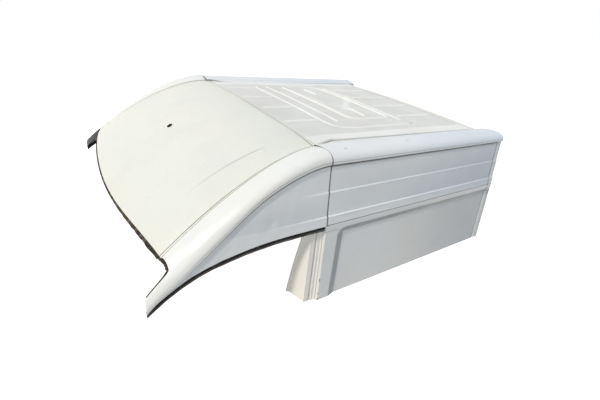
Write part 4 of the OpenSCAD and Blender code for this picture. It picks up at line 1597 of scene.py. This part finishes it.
@dataclass
class RearRail(SidePiece):
    """One rounded rail beside the flat roof, from the cab joint to the rear end."""

    back: float = -1.484
    hem_at: float = 0.011
    hem_width: float = 0.0022
    hem_depth: float = 0.0013
    crease_at: float = 0.705
    crease_width: float = 0.0035
    crease_depth: float = 0.0012
    chips: tuple[tuple[float, float], ...] = ((-0.115, 0.800), (-0.560, 0.790))
    chip_size: float = 0.007
    chip_depth: float = 0.0009
    wave: float = 0.0007

    def skin(self) -> Shell:
        """Builds the rail.

        Three columns go up the ditch's outer flange and round its corner; the rest follow
        the cubic section from there to the lip, starting where it crosses the ditch line
        in plan, so that the rail narrows with the jog near the cab joint. A shallow crease
        runs beside the ditch and a groove above the lip; the left rail has two chips. Painted
        shade lies in the crease, the groove, along the lip's lower edge, down the ditch flange
        and by the jog, and a painted blue shade grows evenly rearwards.

        Returns:
            The closed shell.
        """
        x = stops(
            (self.back, -0.170, 60),
            (-0.170, -0.030, 34),
            (-0.030, -0.009, 4),
            (-0.009, -FORM.seam_w, 4),
        )[:, None]
        t = stops((0, 0.30, 34), (0.30, 0.86, 18), (0.86, 1.0, 22))[None, :]
        table = np.linspace(0, 1, 400)
        edge = FORM.ditch_y(x)
        begin = np.interp(edge + DITCH_CORNER, FORM.rear_rail(table)[:, 0], table)
        p = FORM.rear_rail(mix(begin, 1.0, t))
        y, z = p[..., 0], p[..., 1]
        end = FORM.rear_rail(np.ones(1))[0]
        down = np.hypot(y - end[0], z - end[1])
        n = np.stack([-np.gradient(z, axis=1), np.gradient(y, axis=1)], -1)
        n = n / np.linalg.norm(n, axis=-1, keepdims=True)
        hem = bell(down - self.hem_at, self.hem_width)
        chip = sum(spot(x, y, at, self.chip_size) for at in self.chips)
        chip = chip * (self.side is Side.LEFT)
        waves = self.wave * ripple(x * 5, t * 3, 4.4) * ramp(down, 0.0, 0.03)
        crease = bell(y - self.crease_at, self.crease_width)
        crease = crease * ramp(-x, 0.20, 0.26) * near(-x, 1.30, 1.38)
        depth = self.hem_depth * hem + self.chip_depth * chip + self.crease_depth * crease
        depth = depth - np.minimum(waves, 0)
        y, z = y - n[..., 0] * depth * np.sign(n[..., 1]), z - np.abs(n[..., 1]) * depth
        top = z[:, :1]
        side_y = np.concatenate([edge, edge, edge + DITCH_CHAMFER], axis=1)
        floor = np.full_like(top, FORM.ditch_z + 0.001)
        side_z = np.concatenate([floor, top - DITCH_CORNER, top - DITCH_CHAMFER], axis=1)
        ys, zs = np.concatenate([side_y, y], axis=1), np.concatenate([side_z, z], axis=1)
        outer = grid(x, ys, zs)
        # Painted shade in the groove, the crease and along the lip's lower edge; dirt in the chips.
        dirt_and_painted_light = 0.30 * hem + 0.45 * chip + 0.22 * crease + 0.7 * near(down, 0.001, 0.003)
        dirt_and_painted_light = dirt_and_painted_light + 0.9 * near(-FORM.seam_w - x, *SEAM_DIRT)
        jog = FORM.jog(x)
        # Painted shade along the edge by the jog.
        dirt_and_painted_light = dirt_and_painted_light + 0.55 * jog * near(y - edge, 0.0040, 0.0075)
        # Painted shade growing down the ditch flange, strongest by the jog.
        dirt_and_painted_light = np.concatenate([np.array([0.9, 0.5, 0.1]) * mix(0.5, 1.0, jog), dirt_and_painted_light], axis=1)
        # Painted blue shade growing rearwards.
        film = 0.36 * ramp(-x, 0.10, 1.40)
        return sheet(outer, inner_grid(outer, FORM.skin, (-0.7, 0.7, 0.3)), dirt_and_painted_light, film)

    def build(self) -> None:
        """Shows the rail."""
        self.put(self.skin(), "rear_rail_skin", RAIL, "rear_rail")


@dataclass
class RearHeader:
    """The roof's last band, the rounded step behind it and the box over the rear doors."""

    columns: int = 70
    half: float = 0.688

    def skin(self) -> Shell:
        """Builds the header.

        Its section is given as (x, drop below the roof): a band with a low rib, a rounded
        step down to the shelf, the rear face and the closed box under it. The section
        follows the roof's camber across the width.

        Returns:
            The closed shell.
        """
        section = np.array(
            [
                (-1.357, 0.0040), (-1.357, 0.0020), (-1.359, 0.0010), (-1.366, 0.0008),
                (-1.371, -0.0012), (-1.377, -0.0012), (-1.382, 0.0008), (-1.408, 0.0008),
                (-1.4245, 0.0012), (-1.4285, 0.0026), (-1.430, 0.0060), (-1.430, 0.0250),
                (-1.4315, 0.0290), (-1.4350, 0.0300), (-1.482, 0.0302), (-1.4858, 0.0318),
                (-1.487, 0.0350), (-1.487, 0.0600), (-1.4855, 0.0642), (-1.482, 0.0650),
                (-1.380, 0.0650), (-1.377, 0.0620), (-1.377, 0.0060),
            ]
        )
        dirt_and_painted_light = np.array([0.8, 0.5] + [0.0] * 8 + [0.1, 0.2, 0.5, 0.4] + [0.0] * 9)
        y = np.linspace(-self.half, self.half, self.columns)[:, None]
        rings = grid(section[None, :, 0], y, FORM.plain_roof(y) - section[None, :, 1])
        return bar(rings, dirt_and_painted_light[None, :])

    def build(self) -> None:
        """Shows the header."""
        show(self.skin(), "rear_header_box", OUTER, ["rear_header"], 40)


# ---------------------------------------------------------------- load space sides


@dataclass
class UpperPanel(SidePiece):
    """One upper side panel with its two pressed steps."""

    wave: float = 0.0009
    foot_roll: float = 0.0010

    def skin(self) -> Shell:
        """Builds the panel.

        Half width is the stepped wall's less some shallow waves, which die out at the
        borders and steps. It has a painted shadow under the drip line and dirt in the gutter.
        Painted shade grows rearwards and, on each of the three faces, downwards.

        Returns:
            The closed shell.
        """
        x = stops((FORM.panel_back, -0.010, 78), (-0.010, -FORM.seam_w, 5))[:, None]
        foot, head = FORM.gutter_z, FORM.drip_z
        low, high = FORM.swage_low_z, FORM.swage_high_z
        fine, rim = 0.006, 0.007
        z = stops(
            (foot, foot + 0.004, 3),
            (foot + 0.004, low - fine, 8),
            (low - fine, low + fine, 14),
            (low + fine, high - fine, 16),
            (high - fine, high + fine, 14),
            (high + fine, head - rim, 16),
            (head - rim, head, 6),
        )[None, :]
        calm = ramp(z - foot, 0.0, 0.03) * ramp(head - z, 0.0, 0.03)
        calm = calm * (1 - bell(z - low, 0.012)) * (1 - bell(z - high, 0.012))
        waves = self.wave * (1 + ripple(x * 5, z * 11, 0.9)) * calm
        y = FORM.wall_y(np.maximum(z, foot)) + FORM.step_push(z) - waves
        y = y - self.foot_roll * near(z - foot, 0.0005, 0.0030)
        p = grid(x, y, z)
        # Painted shadow under the drip line; dirt in the gutter.
        dirt_and_painted_light = 0.95 * near(head - z, 0.0060, 0.0110) + 0.7 * near(z - foot, 0.0002, 0.0035)
        dirt_and_painted_light = dirt_and_painted_light + 0.6 * near(x - x[0], 0.0006, 0.0030)
        dirt_and_painted_light = dirt_and_painted_light + 0.8 * near(-FORM.seam_w - x, *SEAM_DIRT)
        # Painted shade, growing rearwards and down each face.
        middle = np.where(z > low + 0.002, (0.70 - z) / 0.20, 0.35)
        down = np.where(z > high + 0.003, (head - z) / 0.125, middle)
        film = 0.34 * ramp(-x, 0.35, 1.5) + 0.24 * down * ramp(-x, -0.3, 0.7)
        return sheet(p, p - WALL_SHEET, dirt_and_painted_light, film)

    def build(self) -> None:
        """Shows the panel."""
        self.put(self.skin(), "upper_side", WALL, "upper_side_panel")


@dataclass
class LowerPanel(SidePiece):
    """One lower side panel with the pressed window blank."""

    blank_front: float = -0.0565
    blank_lean: float = 0.057
    blank_top: float = 0.395
    front_bevel: float = 0.046
    top_bevel: float = 0.031
    corner: float = 1.2
    depth: float = 0.012
    front_lean: float = 0.031
    front_roll: float = 0.006
    fold_at: float = 0.390
    fold_height: float = 0.0012
    crown_height: float = 0.0015
    ragged_height: float = 0.0009
    wave: float = 0.0006

    def inside(self, x: Array, z: Array) -> Array:
        """How far a point is down the blank's bevel: 0 at the border, 1 at its foot.

        It is the lesser of the distances to the leaning front edge and to the top edge,
        each as a share of its bevel; in the upper front corner it is the corner radius
        less the distance to the corner's centre. The blank runs out at the rear.

        Args:
            x: distance ahead of the cab joint.
            z: height.

        Returns:
            The share for each point, negative outside.
        """
        front = (self.blank_front - self.blank_lean * z - x) / self.front_bevel
        top = (self.blank_top - z) / self.top_bevel
        bend = self.corner - np.hypot(self.corner - front, self.corner - top)
        in_corner = (front < self.corner) & (top < self.corner)
        return np.where(in_corner, bend, np.minimum(front, top))

    def dish(self, x: Array, z: Array) -> Array:
        """Depth of the blank: its full depth × a slope with slightly rounded ends."""
        d = self.inside(x, z)
        return self.depth * (0.8 * np.clip(d, 0, 1) + 0.2 * ramp(d, 0, 1))

    def skin(self) -> Shell:
        """Builds the panel.

        Half width is the lower wall's less the blank. The front edge leans back upwards
        and rolls inwards. A thin fold runs under the gutter ahead of the blank, and the
        bottom edge is a little ragged where it was cut. Painted shade lies along the fold,
        on the bevel and along its upper border, and grows rearwards on the blank.

        Returns:
            The closed shell.
        """
        back, front = FORM.panel_back, FORM.corner_reach
        u = stops(
            (back, -0.22, 90), (-0.22, -0.04, 56), (-0.04, 0.008, 14), (0.008, front, 10)
        )[:, None]
        k = stops((0, 0.01, 2), (0.01, 0.80, 50), (0.80, 0.99, 56), (0.99, 1.0, 4))[None, :]
        ahead = ramp(u, -0.004, -0.002)
        top = mix(FORM.gutter_z, FORM.door_z, ahead)
        ragged = self.ragged_height * (1 + ripple(u * 60, u * 37, 1.1))
        ragged = ragged * ramp(np.abs(u + 0.06), 0.0, 0.20)
        z = mix(0 * u, top, k) + ragged * near(k, 0.0, 0.02)
        x = u - self.front_lean * z * ramp(u, -0.05, front)
        d = self.inside(x, z)
        crown = self.crown_height * ramp(d, 1.0, 6.0)
        calm = ramp(np.minimum(z, FORM.gutter_z - z), 0.01, 0.05)
        waves = self.wave * (1 + ripple(x * 5, z * 8, 6.0)) * calm
        fold = ramp(z - self.fold_at, 0.0, 0.003) * near(z, 0.4235, 0.426) * near(d, -0.2, 0)
        roll = self.front_roll * ramp(u, front - 0.007, front) ** 2
        # The plain wall lies in by the fold's height, so that the fold is flush with the gutter
        wall = FORM.wall_y(np.minimum(z, FORM.gutter_z - 1e-6)) - self.fold_height
        y = wall - self.dish(x, z) + crown - waves + self.fold_height * fold - roll
        # Painted shade along the fold, on the bevel and along its upper border.
        line = bell(z - self.fold_at - 0.0015, 0.0016) * ramp(x, -0.10, -0.07)
        slope = (1 - np.abs(2 * np.clip(d, 0, 1) - 1)) ** 0.3
        border = bell(d - 0.10, 0.10) * ramp(z, 0.37, 0.385)
        dirt_and_painted_light = 0.5 * line + 0.30 * slope + 0.30 * border + 0.8 * near(top - z, 0.0010, 0.0035)
        dirt_and_painted_light = dirt_and_painted_light + 0.5 * near(u - back, 0.0006, 0.003)
        notch = ramp(np.sin(160 * z + 1.0) + np.sin(71 * z), 0.6, 1.4) * near(z, 0.15, 0.20)
        dirt_and_painted_light = dirt_and_painted_light + 0.8 * notch * ramp(u, front - 0.012, front - 0.003)
        # Painted shade on the bevel, rearwards on the blank and along the blank's border.
        bevel = ramp(d, -0.05, 0.08) * near(d, 0.90, 1.06)
        film = 0.70 * bevel + (1 - bevel) * (0.06 + 0.50 * ramp(-x, 0.25, 1.45) * ramp(d, 0.9, 1.1))
        film = film + (1 - bevel) * 0.10 * near(d, -0.1, 0.1) * ramp(-x, -0.1, 0.8)
        p = grid(x, y, z)
        return sheet(p, p - WALL_SHEET, dirt_and_painted_light, film)

    def build(self) -> None:
        """Shows the panel."""
        self.put(self.skin(), "lower_side", LOWER, "lower_side_panel")


@dataclass
class RearCorner(SidePiece):
    """One corner strip behind the side panels, with a rounded rear edge."""

    radius: float = 0.008
    turned_in: float = 0.018

    def skin(self) -> Shell:
        """Builds the strip.

        Rows run backwards and turn inwards over a radius of 8 mm; the wall's section is
        followed in height, with a narrow groove at the gutter and the blank's step below.
        Dirt lies in the groove and the joint; painted shade covers the strip, less near the bottom
        and most on the blank's bevel.

        Returns:
            The closed shell.
        """
        front, back, r = FORM.panel_back - 0.0005, -FORM.rear_len, self.radius
        a = np.linspace(0, np.pi / 2, 7)[1:]
        flat = np.linspace(front, back + r, 9)
        x = np.concatenate([flat, back + r - r * np.sin(a), [back]])[:, None]
        inset = np.concatenate([0 * flat, r - r * np.cos(a), [self.turned_in]])[:, None]
        z = stops((0, 0.40, 30), (0.40, 0.44, 24), (0.44, 0.6, 40), (0.6, FORM.drip_z, 20))[None, :]
        y = FORM.wall_y(z) + FORM.step_push(z) - 0.0015
        gutter = bell(z - FORM.gutter_z, 0.0018)
        blank = LowerPanel(self.side)
        dish = blank.dish(np.full_like(z, -1.0), z)
        p = grid(x, y - inset - 0.002 * gutter - dish, z)
        dirt_and_painted_light = 0.8 * gutter + 0.8 * near(front - x, 0.0010, 0.0035)
        under = blank.blank_top - z
        bevel = ramp(under, 0.0, 0.003) * near(under, 0.028, 0.033)
        # Painted shade over the whole strip, less near the bottom and most on the bevel.
        film = 0.30 - 0.12 * ramp(0.36 - z, 0.0, 0.05) + 0.35 * bevel
        inner = np.maximum(inner_grid(p, FORM.skin, (-1.0, 0.5, 0.35)), [-np.inf, -np.inf, 0.0])
        return sheet(p, inner, dirt_and_painted_light, film)

    def build(self) -> None:
        """Shows the strip."""
        self.put(self.skin(), "rear_corner_strip", WALL, "rear_corner")


@dataclass
class DoorPillar(SidePiece):
    """One door pillar with pressed ribs beside the panel, tapering up to its door flange."""

    top: float = 0.404
    reach: float = 0.126
    depth: float = 0.125
    top_depth: float = 0.013
    lean: float = 0.030
    narrowing: float = 0.026
    ribs_width: float = 0.072
    fillet: float = 0.042
    behind: float = 0.0045
    rim: float = 0.015

    def edge(self, z: Array) -> Array:
        """Flange's edge at height z.

        It leans forward evenly, draws back with the 1.6th power of height, and near the
        door header sweeps forward round the fillet.

        Args:
            z: height.

        Returns:
            The distance ahead of the cab joint for each height.
        """
        sweep = np.clip(z - (self.top - self.fillet), 0, self.fillet)
        arc = self.fillet - np.sqrt(np.maximum(self.fillet**2 - sweep**2, 0))
        return self.reach + self.lean * z / FORM.gutter_z - self.narrowing * (z / 0.34) ** 1.6 + arc

    def ribs(self, f: Array) -> Array:
        """Depth of the ribs over their width, both as shares.

        Three faces turned forwards step the skin inwards; between them lie a narrow
        groove, a flat, a hollow and the wide flat before the door face.

        Args:
            f: share of the ribs' width, from the side panel forwards.

        Returns:
            The depth for each point, 0 at the panel and 1 at the door face.
        """
        at = [0.0, 0.10, 0.14, 0.24, 0.43, 0.51, 0.535, 0.64, 0.67, 1.0]
        depth = [0.0, 0.46, 0.34, 0.72, 0.74, 1.08, 1.08, 0.82, 0.84, 0.92]
        return np.interp(f, at, depth)

    def skin(self) -> Shell:
        """Builds the pillar's front.

        Each level's path is given as (x, drop behind the outer wall). It starts flat
        behind the side panel, runs over the ribs and slants back to the flange. The slant
        shrinks with height.

        Returns:
            The closed shell.
        """
        z = stops((0, 0.34, 34), (0.34, self.top, 26))[:, None]
        up = z / FORM.gutter_z
        first = FORM.corner_reach - LowerPanel(self.side).front_lean * z - 0.001
        last = first + self.ribs_width
        start, rim = self.behind, self.rim
        drift = mix(0.019, 0.010, up)
        flange = mix(self.depth, self.top_depth, up)
        edge = self.edge(z)
        f = stops((0, 0.24, 14), (0.24, 0.43, 4), (0.43, 0.67, 16), (0.67, 1.0, 6))[None, :]
        ribbed = start + drift * self.ribs(f) + 0 * z
        g = stops((0.0, 0.9, 14), (0.9, 1.0, 4))[1:][None, :]
        before_lip = flange - 0.002 - 0.005 * (1 - up)
        flat_x = mix(last, edge - rim, g)
        flat = mix(np.minimum(start + drift, flange - 0.002), before_lip, g)
        h = np.array([0.15, 0.3, 0.6, 1.0])[None, :]
        lip_x = mix(edge - rim, edge, h)
        lip = mix(before_lip, flange, ramp(h, 0.0, 0.4))
        zero = 0 * z
        x = np.concatenate(
            [zero - 0.048, first - 0.004, first + self.ribs_width * f, flat_x, lip_x], axis=1
        )
        drop = np.concatenate([zero + start, zero + start, ribbed, flat, lip], axis=1)
        p = grid(x, FORM.wall_y(z) - drop, z)
        inner = p - np.array([0.0005, 0.0026, 0.0])
        # Painted shade in the groove and the hollow between the ribs.
        hollow = bell(f - 0.12, 0.02) + bell(f - 0.60, 0.05)
        dirt_and_painted_light = np.concatenate([0 * x[:, :2], 0.60 * hollow + zero, 0 * flat_x, 0 * lip_x], axis=1)
        return sheet(p, inner, dirt_and_painted_light)

    def plate(self) -> Shell:
        """Builds the plate that closes the pillar inside.

        It runs from the flange's edge backwards at the flange's depth and meets the side
        panel's back at its rear end.

        Returns:
            The closed shell.
        """
        z = np.linspace(0, self.top - 0.004, 40)[:, None]
        t = np.linspace(0, 1, 24)[None, :]
        flange = mix(self.depth, self.top_depth, z / FORM.gutter_z) + 0.0032
        x = mix(self.edge(z) - 0.0006, -0.045, t)
        drop = mix(flange, 0.018, ramp(t, 0.70, 1.0))
        p = grid(x, FORM.wall_y(z) - drop, z)
        return sheet(p, p - np.array([0.0, 0.002, 0.0]))

    def build(self) -> None:
        """Shows the pillar and its inner plate."""
        self.put(self.skin(), "ribbed_pillar", POST, "door_pillar", 25)
        self.put(self.plate(), "pillar_plate", PRIMER, "door_pillar_inner")


# ---------------------------------------------------------------- scene


@dataclass
class Stage:
    """The camera, the sun, the world and the floor."""

    eye: tuple[float, float, float] = (1.31565, 1.93668, 1.30112)
    yaw: float = 0.6602
    pitch: float = 0.4885
    roll: float = 0.1542
    lens: float = 21.004
    floor_radius: float = 12.0
    floor_glow: float = 0.97
    sky_strength: float = 0.56

    def camera(self) -> None:
        """Sets the camera at the photo's place.

        Forward is (−sin yaw cos pitch, −cos yaw cos pitch, −sin pitch); right is forward ×
        up, turned about forward by the roll.
        """
        level, down = math.cos(self.pitch), math.sin(self.pitch)
        forward = Vector((-math.sin(self.yaw) * level, -math.cos(self.yaw) * level, -down))
        right0 = forward.cross(Vector((0, 0, 1))).normalized()
        up0 = right0.cross(forward)
        right = math.cos(self.roll) * right0 + math.sin(self.roll) * up0
        up = -math.sin(self.roll) * right0 + math.cos(self.roll) * up0
        data = bpy.data.cameras.new("photo_camera")
        data.sensor_width, data.lens = 36.0, self.lens
        camera = bpy.data.objects.new("photo_camera", data)
        turn = Matrix((right, up, -forward)).transposed().to_4x4()
        camera.matrix_world = Matrix.Translation(self.eye) @ turn
        bpy.context.scene.collection.objects.link(camera)
        bpy.context.scene.camera = camera

    def sun(
        self, name: str, azimuth: float, height: float, power: float, spread: float, colour: str
    ) -> None:
        """Adds a distant lamp.

        Args:
            name: the lamp's name.
            azimuth: direction it comes from, in degrees from +X towards +Y.
            height: its height over the horizon in degrees.
            power: its strength.
            spread: its apparent size in degrees, which softens its shadows.
            colour: its hex colour.
        """
        data = bpy.data.lights.new(name, "SUN")
        data.energy, data.angle, data.color = power, math.radians(spread), linear(colour)[:3]
        lamp = bpy.data.objects.new(name, data)
        a, h = math.radians(azimuth), math.radians(height)
        source = Vector((math.cos(a) * math.cos(h), math.sin(a) * math.cos(h), math.sin(h)))
        lamp.rotation_euler = source.to_track_quat("Z", "Y").to_euler()
        bpy.context.scene.collection.objects.link(lamp)

    def backdrop(self, tree: bpy.types.NodeTree) -> Socket:
        """Tells the rays that see the white backdrop: camera, mirror and glass rays.

        Args:
            tree: the world's or a material's node tree.

        Returns:
            1 for those rays, 0 for others.
        """
        path = add_node(tree, "ShaderNodeLightPath").outputs
        pair = {0: path["Is Camera Ray"], 1: path["Is Glossy Ray"]}
        first = add_node(tree, "ShaderNodeMath", pair, operation="MAXIMUM").outputs[0]
        whole = {0: first, 1: path["Is Transmission Ray"]}
        return add_node(tree, "ShaderNodeMath", whole, operation="MAXIMUM").outputs[0]

    def world(self) -> None:
        """Makes the sky: white to the camera, a plain cool light to everything else."""
        world = bpy.data.worlds.new("open_sky")
        bpy.context.scene.world = world
        world.use_nodes = True
        tree = world.node_tree
        tree.nodes.clear()
        light = add_node(tree, "ShaderNodeBackground", {0: linear("DFEAFA"), 1: self.sky_strength})
        white = add_node(tree, "ShaderNodeBackground", {0: (1, 1, 1, 1), 1: 1.0})
        pair = {0: self.backdrop(tree), 1: light.outputs[0], 2: white.outputs[0]}
        both = add_node(tree, "ShaderNodeMixShader", pair)
        add_node(tree, "ShaderNodeOutputWorld", {0: both.outputs[0]})

    def floor(self) -> None:
        """Makes the floor as a disc of rings, which glows white to the camera like the photo's.

        To every other ray it is a plain matt floor that throws a warm light on the part.
        """
        r = np.array([1.0, 2.0, 4.0, 8.0, self.floor_radius])[:, None]
        a = np.linspace(0, 2 * np.pi, 96, endpoint=False)[None, :]
        points = grid(r * np.cos(a), r * np.sin(a), -0.0015)
        i = np.arange(points.shape[0] * 96).reshape(-1, 96)
        j = np.roll(i, -1, axis=1)
        quads = np.stack([i[:-1], i[1:], j[1:], j[:-1]], -1).reshape(-1, 4)
        floor = add_mesh("floor", points.reshape(-1, 3), [*quads.tolist(), i[0].tolist()])
        made = bpy.data.materials.new("white_studio_floor")
        made.use_nodes = True
        tree = made.node_tree
        tree.nodes.clear()
        matt = add_node(tree, "ShaderNodeBsdfDiffuse", {0: linear("B9B2A6")})
        seen = {0: self.backdrop(tree), 1: self.floor_glow}
        share = add_node(tree, "ShaderNodeMath", seen, operation="MULTIPLY")
        glow = add_node(tree, "ShaderNodeEmission", {0: (1, 1, 1, 1), 1: share.outputs[0]})
        both = add_node(tree, "ShaderNodeAddShader", {0: matt.outputs[0], 1: glow.outputs[0]})
        add_node(tree, "ShaderNodeOutputMaterial", {0: both.outputs[0]})
        floor.data.materials.append(made)

    def build(self) -> None:
        """Sets the scene."""
        bpy.context.scene.view_settings.view_transform = "Standard"
        self.camera()
        self.world()
        self.floor()
        self.sun("key_sun", azimuth=7.0, height=43.0, power=1.95, spread=5.0, colour="FFF8EC")
        log.info("stage set")


INNER_NODES = ("door_header", "inner_rail", "side_post", "rear_pillar")
SIDE_PIECES = (
    FrontRail,
    FrontSidePanel,
    DoorSeal,
    RearRail,
    UpperPanel,
    LowerPanel,
    RearCorner,
    DoorPillar,
)


def dress_frame(frame: dict) -> None:
    """Gives each CAD node that stays in view its finish.
    """
    chosen: dict[str, Finish] = {f"{n}_{s.word}": PRIMER for n in INNER_NODES for s in Side}
    chosen |= {n: PRIMER for n in ("roof_bow_front", "roof_bow_middle", "roof_bow_rear")}
    # The inner pillars get the dark coat that also paints their shade.
    chosen |= {f"pillar_inner_{s.word}": PILLAR_COAT_AND_SHADE for s in Side}
    chosen |= {f"side_seam_{s.word}": SEALER for s in Side}
    chosen |= {f"roof_ditch_{s.word}": OUTER for s in Side}
    for name, finish in chosen.items():
        node = frame["nodes"][name]
        if not node.material_slots:
            node.data.materials.append(None)
        for slot in node.material_slots:
            slot.link = "OBJECT"
            slot.material = finish.material()
    log.info("%d CAD nodes dressed", len(chosen))


def corners(bounds: Sequence[Sequence[float]]) -> list[list[float]]:
    """Gives a box's two corners as plain lists."""
    return [[float(v) for v in corner] for corner in bounds]


def main() -> None:
    """Builds the scene piece by piece."""
    logging.basicConfig(level=logging.INFO, format="%(name)s: %(message)s")
    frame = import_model()
    dress_frame(frame)
    CabDome().build()
    WindscreenEdge().build()
    FlatRoof().build()
    RearHeader().build()
    for side in Side:
        for piece in SIDE_PIECES:
            piece(side).build()
    Stage().build()


if __name__ == "__main__":
    main()
